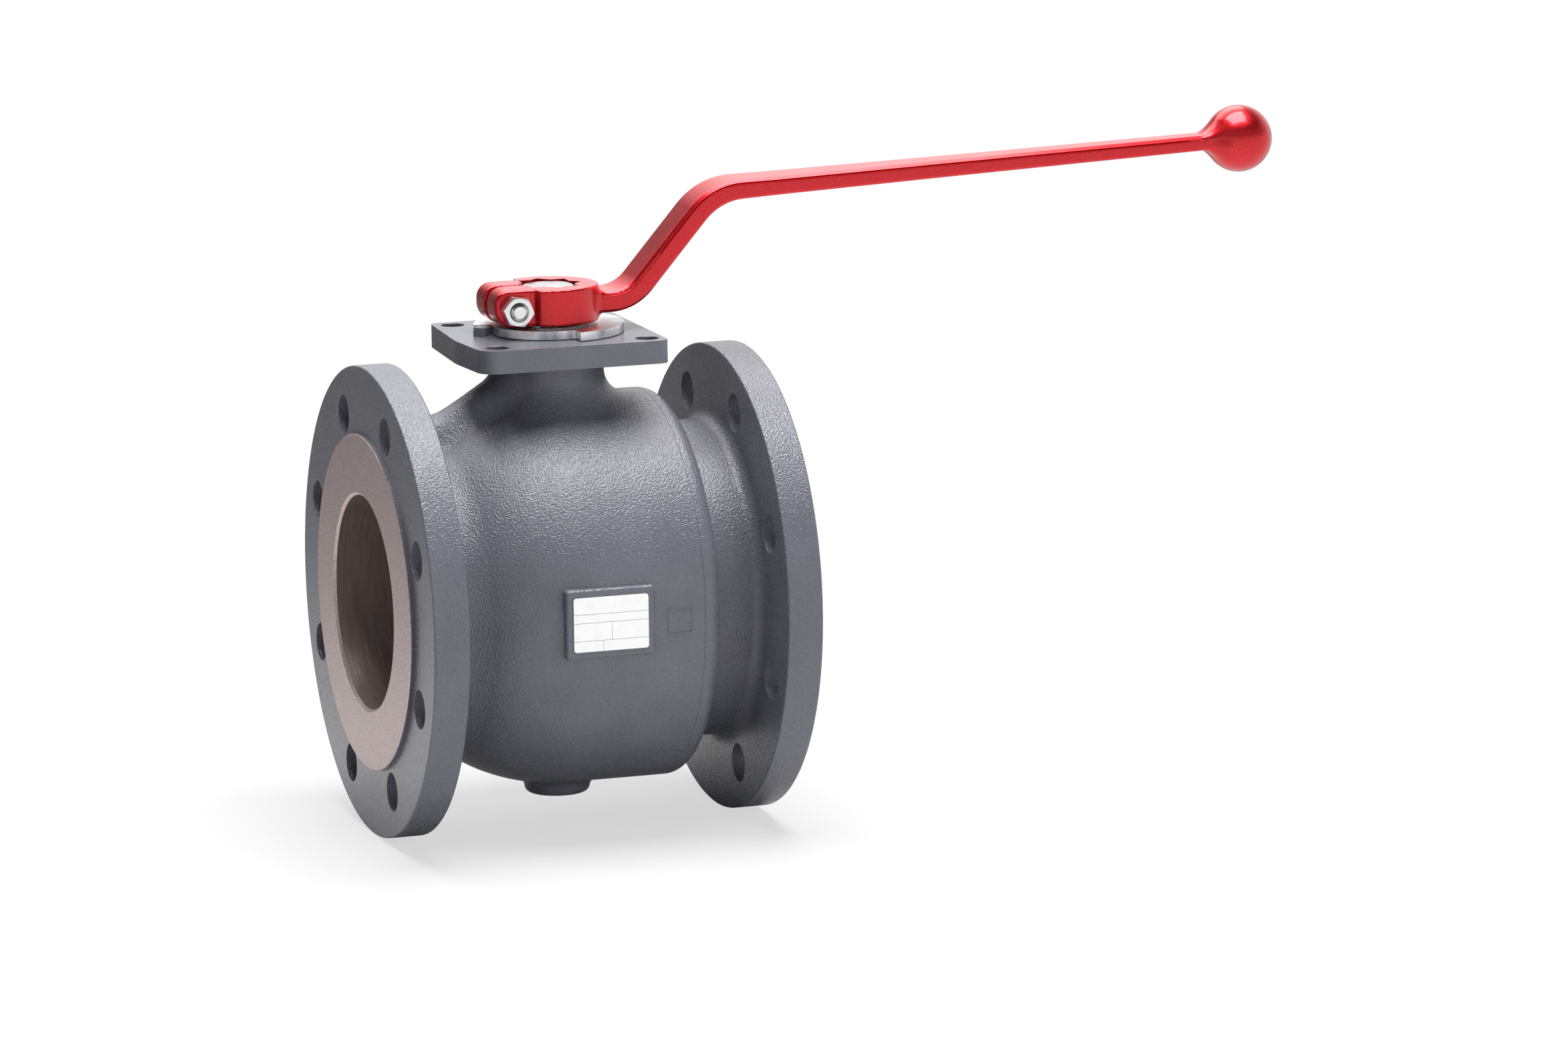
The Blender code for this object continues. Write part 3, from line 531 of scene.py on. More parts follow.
def grey_enamel():
    """Satin enamel over sand-cast iron: pebbled where it is raw, fine-grained where it was dressed."""
    made, tree, shader = new_finish("grey_enamel")
    peel = tree.nodes.new("ShaderNodeAttribute")
    peel.attribute_name = "peel"
    pebbles = grain(tree, 1180.0, detail=1.2, roughness=0.4, distortion=0.15)
    fine = grain(tree, 1900.0)
    cloud = grain(tree, 38.0, detail=4.0)
    height = spread(pebbles, 0.0, 1.0, from_low=0.25, from_high=0.72)
    height = arithmetic("MULTIPLY", height, peel.outputs["Fac"])
    height = arithmetic("MULTIPLY_ADD", fine, 0.10, height)
    relief(shader, height, 0.00021)
    colour = tones(cloud, (0.30, (0.106, 0.107, 0.130)), (0.70, (0.124, 0.125, 0.151)))
    coloured(shader, colour, spread(fine, 0.22, 0.32))
    set_up(shader, ior=1.5)
    return made


def bare_iron():
    """Faced cast iron: a warm speckled grey with fine lathe rings."""
    made, tree, shader = new_finish("bare_iron")
    rings = tree.nodes.new("ShaderNodeTexWave")
    rings.wave_type = "RINGS"
    rings.rings_direction = "X"
    set_up(rings, scale=420.0, distortion=1.5)
    tree.links.new(where(tree), rings.inputs["Vector"])
    speckle = grain(tree, 1100.0, detail=3.0, roughness=0.65)
    colour = tones(speckle, (0.30, (0.31, 0.240, 0.230)), (0.50, (0.48, 0.385, 0.375)),
                   (0.68, (0.66, 0.545, 0.535)))
    coloured(shader, colour, spread(speckle, 0.34, 0.48))
    height = arithmetic("MULTIPLY_ADD", rings.outputs["Fac"], 0.25, speckle)
    relief(shader, height, 0.00006)
    set_up(shader, metallic=0.7)
    return made


def bored_iron():
    """Bored cast iron, brown-grey with faint tool lines round the bore."""
    made, tree, shader = new_finish("bored_iron")
    lines = grain(tree, 60.0, detail=3.0, roughness=0.6, stretch=(14.0, 1.0, 1.0))
    speckle = grain(tree, 900.0)
    colour = tones(lines, (0.32, (0.21, 0.158, 0.142)), (0.68, (0.30, 0.232, 0.214)))
    coloured(shader, colour, spread(speckle, 0.32, 0.46))
    relief(shader, arithmetic("MULTIPLY_ADD", lines, 1.5, speckle), 0.00004)
    set_up(shader, metallic=0.65)
    return made


casting_grey = grey_enamel()
faced_iron = bare_iron()
bore_iron = bored_iron()
# the enamel is smoother round the top of the neck and on the turned fronts of the flanges
smooth_from_z = 0.090
smooth_rise = 0.014
smooth_half_length = 0.068
smooth_run = 0.008
smooth_share = 0.8
faced_peel = 0.22
flat_within = 1e-4


def dress_casting(obj, face_x, bore_floor_x):
    """Enamel outside, bare iron on the faced ring and inside, and a map of how pebbled the enamel is."""
    mesh = obj.data
    mesh.materials.clear()
    for made in (casting_grey, faced_iron, bore_iron):
        mesh.materials.append(made)
    chamber_r = spigot_r + 2.0 * fit_gap
    for face in mesh.polygons:
        x, y, z = face.center
        radius = math.hypot(y, z)
        depth = abs(x - face_x)
        if radius < raised_face_r and depth < raised_face_edge:
            face.material_index = 1
        elif radius < bore_r + bore_chamfer and depth < bore_chamfer:
            face.material_index = 1
        elif radius < bore_r + fit_gap and depth < abs(bore_floor_x - face_x):
            face.material_index = 2
        elif seat_pocket_r - reach < radius < chamber_r and abs(x) < seat_pocket_x:
            face.material_index = 2 if math.hypot(x, radius) < chamber_r else 0
        else:
            face.material_index = 0
    places = np.empty(len(mesh.vertices) * 3)
    mesh.vertices.foreach_get("co", places)
    x, y, z = places.reshape(-1, 3).T
    radius = np.hypot(y, z)
    up_neck = np.clip((z - smooth_from_z) / smooth_rise, 0.0, 1.0)
    near_neck = np.clip((smooth_half_length - np.abs(x)) / smooth_run, 0.0, 1.0)
    raw = 1.0 - smooth_share * up_neck * near_neck
    on_front = np.abs(np.abs(x - face_x) - raised_face_height) < flat_within
    dressed = on_front & (radius < flange_r - rim_round / 2.0)
    peel = mesh.attributes.new("peel", "FLOAT", "POINT")
    peel.data.foreach_set("value", np.where(dressed, faced_peel, raw).astype(np.float32))


dress_casting(body, inlet_face_x, -seat_pocket_x)
shaded(body)
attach(body, "valve_body")
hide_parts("body")

# Tail piece
# The second iron casting, with the outlet flange. It screws into the body behind the ball and is enamelled
# with it, so only a hairline shows where the two meet.
outlet_face_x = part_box("tail_piece")[1].x
shoulder_round = 0.007
shoulder_end_x = 0.0532
shoulder_fillet = 0.003
shoulder_foot = 0.004
tail_neck_r = 0.0745
tail_fillet = 0.006
joint_edge = 0.00012
joint_gap = 0.0001
tail_groove_x = (0.0358, 0.0396)
tail_groove_r = 0.0784
tail_back_x = outlet_face_x - flange_thickness
seat_face_x = joint_x + joint_gap
spigot_end_x = joint_x - spigot_depth


def groove(start, end, outer_r, floor_r):
    """A square groove in a turned profile."""
    return [(start, outer_r), (start, floor_r), (end, floor_r), (end, outer_r)]


tail_profile = [(outlet_face_x - bore_chamfer, bore_r), (outlet_face_x, bore_r + bore_chamfer)]
tail_profile += flange_profile(outlet_face_x, -1.0)
tail_profile += arc((tail_back_x - tail_fillet, tail_neck_r + tail_fillet), tail_fillet, 0.0, -90.0, 8)
tail_profile += [(shoulder_end_x + shoulder_foot, tail_neck_r)]
foot_centre = (shoulder_end_x + shoulder_fillet, tail_neck_r + shoulder_fillet)
tail_profile += arc(foot_centre, shoulder_fillet, 270.0, 180.0, 4)
shoulder_centre = (shoulder_end_x - shoulder_round, shell_r - shoulder_round)
tail_profile += arc(shoulder_centre, shoulder_round, 2.0, 90.0, 12)
tail_profile += [(seat_face_x + joint_edge, shell_r), (seat_face_x, shell_r - joint_edge)]
tail_profile += [(seat_face_x, spigot_r)]
tail_profile += groove(tail_groove_x[1], tail_groove_x[0], spigot_r, tail_groove_r)
tail_profile += [(spigot_end_x, spigot_r)]
tail_profile += cavity_arc(spigot_end_x, seat_mouth_x, 8)
tail_profile += [(seat_pocket_x, seat_pocket_r), (seat_pocket_x, bore_r)]
tail = turned("tail_casting", tail_profile, "X", closed=True)
combine(tail, flange_bolt_holes("outlet_bolt_holes", outlet_face_x, -1.0), "DIFFERENCE")
dress_casting(tail, outlet_face_x, seat_pocket_x)
shaded(tail)
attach(tail, "valve_body")
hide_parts("tail_piece")

# Ball
# A bored stainless ball, ground and polished, with a slot across its top that the stem's tang turns. It
# floats between the two seat rings.
ball_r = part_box("ball")[1].y
slot_half_width = 0.0083
slot_floor_z = 0.064
ball_lip = 0.0006
mouth_deg = math.degrees(math.asin((bore_r + ball_lip) / ball_r))
ball_profile = arc((0.0, 0.0), ball_r, mouth_deg, 180.0 - mouth_deg, 56)
lip_x = ball_profile[0][0] - ball_lip
ball_profile = [(lip_x, bore_r)] + ball_profile + [(-lip_x, bore_r)]
ball = turned("polished_ball", ball_profile, "X", closed=True)
slot_outline = rectangle((-slot_half_width, slot_half_width), (-ball_r, ball_r))
combine(ball, plate("slot", [slot_outline], slot_floor_z, ball_r + reach), "DIFFERENCE")


def steel(name, dark, light, roughness, lines):
    """Bright metal with fine tool lines, drawn out along the axes by the lines given."""
    made, tree, shader = new_finish(name)
    marks = grain(tree, 120.0, detail=4.0, roughness=0.6, stretch=lines)
    specks = grain(tree, 1800.0)
    colour = tones(marks, (0.3, dark), (0.7, light))
    coloured(shader, colour, spread(marks, 0.8 * roughness, 1.25 * roughness))
    relief(shader, arithmetic("MULTIPLY_ADD", marks, 2.0, specks), 0.00002)
    set_up(shader, metallic=1.0)
    return made


def dress(obj, made, body_name, node_name):
    """One finish all over, smooth shading, the body that the piece moves with, and the imported solid that
    it stands for hidden.
    """
    obj.data.materials.clear()
    obj.data.materials.append(made)
    shaded(obj)
    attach(obj, body_name)
    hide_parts(node_name)


polished_steel = steel("polished_steel", (0.60, 0.60, 0.60), (0.74, 0.74, 0.75), 0.14, (6.0, 1.0, 1.0))
dress(ball, polished_steel, "ball", "ball")

# Seat rings and seals
# Turned fluoropolymer rings that the ball floats between, with rubber rings in grooves behind them and
# another on the tail piece's spigot. All of them are trapped when the tail piece is screwed home.
seat_front_x = 0.0465
seat_bore_r = 0.051
seat_outer_r = seat_pocket_r - fit_gap
seat_groove_x = (0.0554, 0.0586)
seat_groove_r = 0.0614
seat_gap = 0.0004
seat_ball_r = ball_r + seat_gap


def waxy_plastic():
    """White fluoropolymer: waxy, faintly mottled, with a soft sheen."""
    made, tree, shader = new_finish("waxy_plastic")
    mottle = grain(tree, 160.0, detail=3.0)
    colour = tones(mottle, (0.3, (0.74, 0.74, 0.71)), (0.7, (0.84, 0.84, 0.82)))
    coloured(shader, colour, spread(mottle, 0.40, 0.55))
    relief(shader, grain(tree, 900.0), 0.00004)
    set_up(shader, subsurface_weight=0.1, subsurface_scale=0.002)
    return made


def seal_rubber():
    """Black nitrile rubber with a dull bloom."""
    made, tree, shader = new_finish("seal_rubber")
    bloom = grain(tree, 500.0, detail=3.0)
    colour = tones(bloom, (0.3, (0.014, 0.014, 0.015)), (0.7, (0.03, 0.03, 0.03)))
    coloured(shader, colour, spread(bloom, 0.5, 0.7))
    relief(shader, bloom, 0.00003)
    return made


ring_plastic = waxy_plastic()
ring_rubber = seal_rubber()
seat_profile = arc((0.0, 0.0), seat_ball_r, math.degrees(math.acos(seat_front_x / seat_ball_r)),
                   math.degrees(math.asin(seat_bore_r / seat_ball_r)), 8)
seat_profile += [(seat_pocket_x - fit_gap, seat_bore_r), (seat_pocket_x - fit_gap, seat_outer_r)]
seat_profile += groove(seat_groove_x[1], seat_groove_x[0], seat_outer_r, seat_groove_r)
seat_profile += [(seat_front_x, seat_outer_r)]
for side, sign in (("inlet", -1.0), ("outlet", 1.0)):
    facing_ball = [(sign * along, radius) for along, radius in seat_profile]
    seat = turned(side + "_seat", facing_ball, "X", closed=True)
    dress(seat, ring_plastic, "valve_body", side + "_seat_ring")


def keep_solids(names, made):
    """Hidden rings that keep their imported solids, with a finish and smooth shading."""
    for name in names:
        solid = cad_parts[name]
        solid.data.materials.clear()
        solid.data.materials.append(made)
        shaded(solid)


keep_solids(("inlet_seat_o_ring", "outlet_seat_o_ring", "tail_o_ring"), ring_rubber)

# Stem and its packing
# A turned stainless stem, held in from below by its collar. Its head has four flats for the disc and lever.
# A thrust washer, two rubber rings, a brass bush, three packing rings and a brass gland ring fill the neck
# round it.
stem_r = 0.0125
stem_top_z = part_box("stem")[1].z
stem_chamfer = 0.0009
head_half_width = 0.011
head_bottom_z = 0.1216
tang_half_width = 0.008
tang_r = 0.0165
tang_z = (0.0644, 0.0758)
collar_r = 0.017
collar_top_z = 0.0817
o_ring_grooves = ((0.0872, 0.0904, 0.0102), (0.0922, 0.0954, 0.0102))
snap_ring_groove = (0.12595, 0.12775, 0.0113)
stem_profile = [(tang_z[0], 0.0), (tang_z[0], tang_r), (tang_z[1], tang_r), (tang_z[1], collar_r)]
stem_profile += [(collar_top_z, collar_r), (collar_top_z, stem_r)]
for groove_low, groove_high, groove_r in (*o_ring_grooves, snap_ring_groove):
    stem_profile += groove(groove_low, groove_high, stem_r, groove_r)
stem_profile += [(stem_top_z - stem_chamfer, stem_r), (stem_top_z, stem_r - stem_chamfer)]
stem_profile += [(stem_top_z, 0.0)]
stem = turned("stem_turning", stem_profile, "Z", 128)
wide = 0.03
across = (-wide, wide)
head_cut_z = (head_bottom_z, stem_top_z + reach)
tang_cut_z = (tang_z[0] - reach, tang_z[1])
for sign in (-1.0, 1.0):
    beside_head = sorted((sign * head_half_width, sign * wide))
    beside_tang = sorted((sign * tang_half_width, sign * wide))
    for outline, cut_z in ((rectangle(beside_head, across), head_cut_z),
                           (rectangle(across, beside_head), head_cut_z),
                           (rectangle(beside_tang, across), tang_cut_z)):
        combine(stem, plate("flat", [outline], *cut_z), "DIFFERENCE")
ground_steel = steel("ground_steel", (0.66, 0.66, 0.66), (0.80, 0.80, 0.80), 0.22, (1.0, 1.0, 9.0))
dress(stem, ground_steel, "lever_and_stem", "stem")
turned_brass = steel("turned_brass", (0.62, 0.44, 0.17), (0.76, 0.57, 0.26), 0.3, (1.0, 1.0, 9.0))
keep_solids(("stem_bush", "gland_ring"), turned_brass)
keep_solids(("lower_stem_o_ring", "upper_stem_o_ring"), ring_rubber)
keep_solids(("thrust_washer", "lower_packing_ring", "middle_packing_ring", "upper_packing_ring"),
            ring_plastic)

# Stop disc and retaining ring
# A zinc-plated steel disc, laser-cut, on the stem's flats. A quarter of its rim is cut back, and the ends
# of the cut meet the lug on the pad. A snap ring in the stem's groove keeps it down.
disc_r = 0.035
disc_cut_r = 0.0276
disc_fillet = 0.0015
disc_z = [corner.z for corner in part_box("stop_disc")]
disc_edge = 0.0004
cut_face_lean = 0.3
lug_clear = lug_half_diagonal + fit_gap
rim_deg = math.degrees(math.asin(lug_clear / disc_r))
fillet_side = lug_clear - disc_fillet
fillet_reach = math.sqrt((disc_cut_r + disc_fillet) ** 2 - fillet_side ** 2)
fillet_deg = math.degrees(math.atan2(fillet_side, fillet_reach))
disc_outline = arc((0.0, 0.0), disc_r, rim_deg - 90.0, 180.0 - rim_deg, 120)
disc_outline += arc((-fillet_reach, fillet_side), disc_fillet, 90.0, -fillet_deg, 6)
disc_outline += arc((0.0, 0.0), disc_cut_r, 180.0 - fillet_deg, 270.0 + fillet_deg, 48)[1:-1]
disc_outline += arc((fillet_side, -fillet_reach), disc_fillet, 90.0 + fillet_deg, 0.0, 6)
eye_flat, eye_r = head_half_width + fit_gap, stem_r + fit_gap
eye_deg = math.degrees(math.acos(eye_flat / eye_r))
eye = [point for turn in range(4)
       for point in arc((0.0, 0.0), eye_r, 90.0 * turn + eye_deg, 90.0 * turn + 90.0 - eye_deg, 8)]
disc = softened(plate("stop_disc_plate", [disc_outline, eye], *disc_z), disc_edge, 2, 50.0)


def zinc_plate():
    """Bright zinc on steel: cool white metal, lightly clouded."""
    made, tree, shader = new_finish("zinc_plate")
    clouds = grain(tree, 140.0, detail=3.0)
    colour = tones(clouds, (0.3, (0.82, 0.84, 0.84)), (0.7, (0.91, 0.92, 0.91)))
    coloured(shader, colour, spread(clouds, 0.22, 0.34))
    relief(shader, grain(tree, 1600.0), 0.00002)
    set_up(shader, metallic=1.0)
    return made


def cut_edge():
    """The disc's cut rim under its zinc: painted reflection in dark and bright patches, with fine streaks
    from top to bottom.
    """
    made, tree, shader = new_finish("zinc_on_cut_edge")
    streaks = grain(tree, 900.0, detail=3.0, roughness=0.65, stretch=(1.0, 1.0, 0.05))
    painted_reflection_patches = grain(tree, 75.0, detail=1.5, stretch=(1.0, 1.0, 0.1))
    # the dark and near-white patch tones are painted reflection and highlight, since the overhead softbox
    # is kept off the disc
    colour = tones(painted_reflection_patches, (0.38, (0.26, 0.27, 0.29)), (0.47, (0.62, 0.63, 0.65)),
                   (0.58, (0.97, 0.97, 0.97)))
    coloured(shader, colour, spread(streaks, 0.20, 0.42))
    relief(shader, streaks, 0.00004)
    set_up(shader, metallic=1.0)
    return made


bright_zinc = zinc_plate()
dress(disc, bright_zinc, "lever_and_stem", "stop_disc")
disc.data.materials.append(cut_edge())
for face in disc.data.polygons:
    face.material_index = 1 if abs(face.normal.z) < cut_face_lean else 0
keep_solids(("retaining_ring",), bright_zinc)

# Lever
# A cast light-alloy lever, enamelled red with fine flake. Its split hub clamps on the stem head, and the
# cranked arm tapers to a ball to pull on.
hub_r = 0.0232
hub_z = (0.1269, 0.1440)
hub_edge = 0.0009
lever_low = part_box("lever")[0]
ear_z = (lever_low.z, 0.1442)
ear_end_x = lever_low.x
ear_half_width = 0.016
ear_round_top = 0.0068
ear_round_bottom = 0.0086
ear_edge = 0.0018
ear_fillet = 0.0008
ring_recess_r = 0.018
ring_recess_z = 0.1279
slit_half_width = 0.0023
slit_end_x = -0.0056
slit_edge = 0.0008
star_half_width = 0.0113
nut_seat_x = -0.011
nut_seat_step = 0.002
nut_seat_edge = 0.0009
arm_path = ((0.012, 0.1352), (0.0371, 0.1352), (0.0791, 0.1837), (0.336, 0.1927))
arm_bend_r = (0.022, 0.031)
arm_thickness = ((0.0, 0.0100), (0.070, 0.0100), (0.110, 0.0088), (0.336, 0.0072))
arm_half_width = ((0.0, 0.0112), (0.100, 0.0112), (0.200, 0.0086), (0.336, 0.0068))
# points of the arm's upper edge, in from its side and down from its top
arm_edge = ((0.0020, 0.0), (0.0016, 0.0001), (0.0005, 0.0014), (0.0005, 0.0016), (0.0010, 0.0019),
            (0.0002, 0.0023), (0.0, 0.0028))
arm_round = 0.0016
root_fillet = 0.0038
root_end_x = 0.052
grip_centre = (0.3461, 0.0, 0.1929)
grip_r = 0.016
grip_fillet = 0.0065
grip_start_x = 0.318
hub_cell = 0.0007
hub_low = (ear_end_x - reach, -0.027, ear_z[0] - reach)
hub_high = (root_end_x + reach, 0.027, 0.165)
grip_cell = 0.0009
grip_low = (grip_start_x - reach, -0.019, 0.174)
grip_high = (0.366, 0.019, 0.212)
clamp_x, clamp_z = -0.021, 0.1349
clamp_hole_r = 0.0043


def arm_line():
    """Centre line of the arm in the XZ plane: straight runs joined by round bends."""
    line = [arm_path[0]]
    for before, corner, after, radius in zip(arm_path, arm_path[1:], arm_path[2:], arm_bend_r):
        heading_in = math.atan2(corner[1] - before[1], corner[0] - before[0])
        heading_out = math.atan2(after[1] - corner[1], after[0] - corner[0])
        turn = heading_out - heading_in
        side = math.copysign(1.0, turn)
        setback = radius * math.tan(abs(turn) / 2.0)
        along = (math.cos(heading_in), math.sin(heading_in))
        start = (corner[0] - setback * along[0], corner[1] - setback * along[1])
        centre = (start[0] - side * radius * along[1], start[1] + side * radius * along[0])
        first = math.degrees(heading_in) - side * 90.0
        line += arc(centre, radius, first, first + math.degrees(turn), 16)
    run = np.linspace(line[-1], arm_path[-1], 40)[1:]
    return np.array(line + run.tolist())


arm_centre = arm_line()


def arm_distance(x, y, z):
    """Distance to a plain arm that lies just under the finished one's skin."""
    nearest = np.full(np.shape(x), 1.0)
    for start, end in zip(arm_centre[:-1], arm_centre[1:]):
        along = end - start
        share = ((x - start[0]) * along[0] + (z - start[1]) * along[1]) / (along @ along)
        share = np.clip(share, 0.0, 1.0)
        from_segment = np.hypot(x - start[0] - share * along[0], z - start[1] - share * along[1])
        nearest = np.minimum(nearest, from_segment)
    above = nearest - np.interp(x, *zip(*arm_thickness)) / 2.0 + sink
    beside = np.abs(y) - np.interp(x, *zip(*arm_half_width)) + sink
    return rounded_corner(above, beside, arm_round)


def hub_and_ears(x, y, z):
    """Distance to the hub, its two ears with the slit between them, and the root of the arm."""
    across = np.hypot(x, y)
    from_middle = np.abs(z - sum(hub_z) / 2.0)
    hub = rounded_corner(across - hub_r, from_middle - (hub_z[1] - hub_z[0]) / 2.0, hub_edge)
    beside_ears = np.maximum(x - nut_seat_x, ear_half_width - nut_seat_step - np.abs(y))
    hub = rounded_corner(hub, -beside_ears, nut_seat_edge)
    side = np.maximum(rounded_corner(ear_end_x - x, z - ear_z[1], ear_round_top),
                      rounded_corner(ear_end_x - x, ear_z[0] - z, ear_round_bottom))
    ears = np.maximum(rounded_corner(side, np.abs(y) - ear_half_width, ear_edge), x)
    shape = rounded_union(hub, ears, ear_fillet)
    shape = rounded_union(shape, np.maximum(arm_distance(x, y, z), x - root_end_x), root_fillet)
    slit = np.maximum(np.abs(y) - slit_half_width, x - slit_end_x)
    shape = rounded_corner(shape, -slit, slit_edge)
    return np.maximum(shape, -np.maximum(across - ring_recess_r, z - ring_recess_z))


def grip_and_neck(x, y, z):
    """Distance to the ball on the end and the arm just before it."""
    grip = np.sqrt((x - grip_centre[0]) ** 2 + y ** 2 + (z - grip_centre[2]) ** 2) - grip_r
    return rounded_union(grip, np.maximum(arm_distance(x, y, z), grip_start_x - x), grip_fillet)


def arm_section(half_width, thickness):
    """Half of the arm's section from the top: a flat, a bevel, a crease where the mould parted, a side."""
    top = thickness / 2.0
    upper = [(half_width - inward, top - down) for inward, down in arm_edge]
    lower = arc((half_width - arm_round, arm_round - top), arm_round, 0.0, -90.0, 4)
    return [(0.0, top)] + upper + lower + [(0.0, -top)]


def arm_sweep():
    """The arm's section carried along its centre line."""
    shape = bmesh.new()
    rings = []
    slopes = np.gradient(arm_centre, axis=0)
    for (x, z), (run, rise) in zip(arm_centre, slopes):
        half = arm_section(np.interp(x, *zip(*arm_half_width)), np.interp(x, *zip(*arm_thickness)))
        section = half + [(-across, up) for across, up in half[-2:0:-1]]
        length = math.hypot(run, rise)
        rings.append([shape.verts.new((x - up * rise / length, across, z + up * run / length))
                      for across, up in section])
    for ring, following in zip(rings, rings[1:]):
        for i in range(len(ring)):
            shape.faces.new((ring[i - 1], ring[i], following[i], following[i - 1]))
    shape.faces.new(rings[0])
    shape.faces.new(rings[-1][::-1])
    bmesh.ops.recalc_face_normals(shape, faces=shape.faces)
    return from_shape("arm", shape)


lever = skin("lever_casting", hub_and_ears, hub_low, hub_high, hub_cell)
for piece in (arm_sweep(), skin("grip", grip_and_neck, grip_low, grip_high, grip_cell)):
    combine(lever, piece, "UNION")
tall = (ear_z[0] - reach, ear_z[1] + reach)
square = rectangle((-star_half_width, star_half_width), (-star_half_width, star_half_width))
diagonal = star_half_width * math.sqrt(2.0)
diamond = [(diagonal, 0.0), (0.0, diagonal), (-diagonal, 0.0), (0.0, -diagonal)]
clamp_circle = arc((clamp_x, clamp_z), clamp_hole_r, 0.0, 350.0, 35)
for cutter in (plate("star", [square], *tall), plate("star", [diamond], *tall),
               plate("clamp_hole", [clamp_circle], -wide, wide, upright=True)):
    combine(lever, cutter, "DIFFERENCE")


def red_enamel():
    """Deep red enamel with fine metal flake under a clear coat, a little grainy over the cast surface."""
    made, tree, shader = new_finish("red_enamel")
    flake = grain(tree, 2300.0, roughness=0.7)
    cloud = grain(tree, 60.0, detail=3.0)
    colour = tones(flake, (0.30, (0.48, 0.005, 0.010)), (0.55, (0.63, 0.012, 0.019)),
                   (0.75, (0.78, 0.034, 0.044)))
    coloured(shader, colour, spread(cloud, 0.28, 0.36))
    height = arithmetic("MULTIPLY_ADD", flake, 0.35, grain(tree, 700.0))
    relief(shader, height, 0.00005)
    set_up(shader, metallic=0.9, coat_weight=0.6, coat_roughness=0.14)
    return made


dress(lever, red_enamel(), "lever_and_stem", "lever")

# Clamp bolt and nut
# A zinc-plated M8 hexagon bolt through both ears, with its nut on the near side. It draws the split hub
# tight on the stem.
bolt_r = 0.004
bolt_end_y, head_end_y = [corner.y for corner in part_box("clamp_bolt")]
nut_y = [corner.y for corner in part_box("clamp_nut")]
head_start_y = ear_half_width + fit_gap
hex_half_flat = 0.0065
hex_corner_r = hex_half_flat / math.cos(math.pi / 6.0)
hex_face_r = 0.97 * hex_half_flat
hex_cone_slope = 0.55
hex_cone_length = 0.02
head_tilt_deg = 12.0
nut_tilt_deg = -9.0
nut_lip = 0.0004
thread_pitch = 0.00125
thread_depth = 0.0006
thread_crest = (0.4, 0.6)
tip_depth = 0.0012
tip_length = 0.0005
plain_shank = 0.006


def hexagon(name, start_y, end_y, outer_y, tilt_deg):
    """A hexagon across the bolt's axis, with its outer corners turned off to a shallow cone."""
    outline = arc((0.0, 0.0), hex_corner_r, tilt_deg, tilt_deg + 300.0, 5)
    made = plate(name, [outline], start_y, end_y, upright=True)
    out = math.copysign(1.0, outer_y)
    wide_r = hex_corner_r + reach
    wide_y = outer_y - out * hex_cone_slope * (wide_r - hex_face_r)
    inner_y = outer_y - out * hex_cone_length
    cone = [(inner_y, 0.0), (inner_y, wide_r), (wide_y, wide_r), (outer_y, hex_face_r), (outer_y, 0.0)]
    return combine(made, turned("cone", cone, "Y", 96), "INTERSECT")


def thread(start_y, end_y):
    """Ridges along the bolt's thread, from its tip."""
    root_r = bolt_r - thread_depth
    profile = [(start_y, 0.0), (start_y, bolt_r - tip_depth), (start_y + tip_length, root_r)]
    ridges = int((end_y - start_y - tip_length) / thread_pitch)
    for i in range(ridges):
        along = start_y + tip_length + i * thread_pitch
        profile += [(along + share * thread_pitch, bolt_r) for share in thread_crest]
        profile += [(along + thread_pitch, root_r)]
    return profile


bolt_profile = thread(bolt_end_y, head_start_y - plain_shank)
bolt_profile += [(bolt_profile[-1][0] + tip_length, bolt_r)]
bolt_profile += [(head_start_y + reach, bolt_r), (head_start_y + reach, 0.0)]
bolt = turned("clamp_bolt_turning", bolt_profile, "Y", 64)
combine(bolt, hexagon("bolt_head", head_start_y, head_end_y, head_end_y, head_tilt_deg), "UNION")
nut = hexagon("clamp_nut_turning", *nut_y, nut_y[0], nut_tilt_deg)
nut_hole = [(nut_y[0] - reach, 0.0), (nut_y[0] - reach, clamp_hole_r + reach + nut_lip)]
nut_hole += [(nut_y[0] + nut_lip, clamp_hole_r), (nut_y[1] + reach, clamp_hole_r)]
nut_hole += [(nut_y[1] + reach, 0.0)]
combine(nut, turned("nut_hole", nut_hole, "Y", 64), "DIFFERENCE")
for obj, node_name in ((bolt, "clamp_bolt"), (nut, "clamp_nut")):
    obj.data.transform(Matrix.Translation((clamp_x, 0.0, clamp_z)))
    dress(obj, bright_zinc, "lever_and_stem", node_name)

# Rating label
# A white film label with rounded corners, stuck on the cast land. It is printed with a plain ruled form
# and left blank.
label_low, label_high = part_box("rating_label")
label_corner = 0.0014
label_size = label_high - label_low
label_corners = [(u, v, label_corner)
                 for u, v in rectangle((label_low.x, label_high.x), (label_low.z, label_high.z))]
label = plate("label_film", [rounded_outline(label_corners, 8)], label_low.y, label_high.y, upright=True)
rule_width = 0.00016
rule_ink = (0.05, 0.05, 0.055, 1.0)
rules_across = (0.69, 0.53, 0.20)
rules_up = ((0.51, 0.20, 0.53), (0.39, 0.0, 0.20))


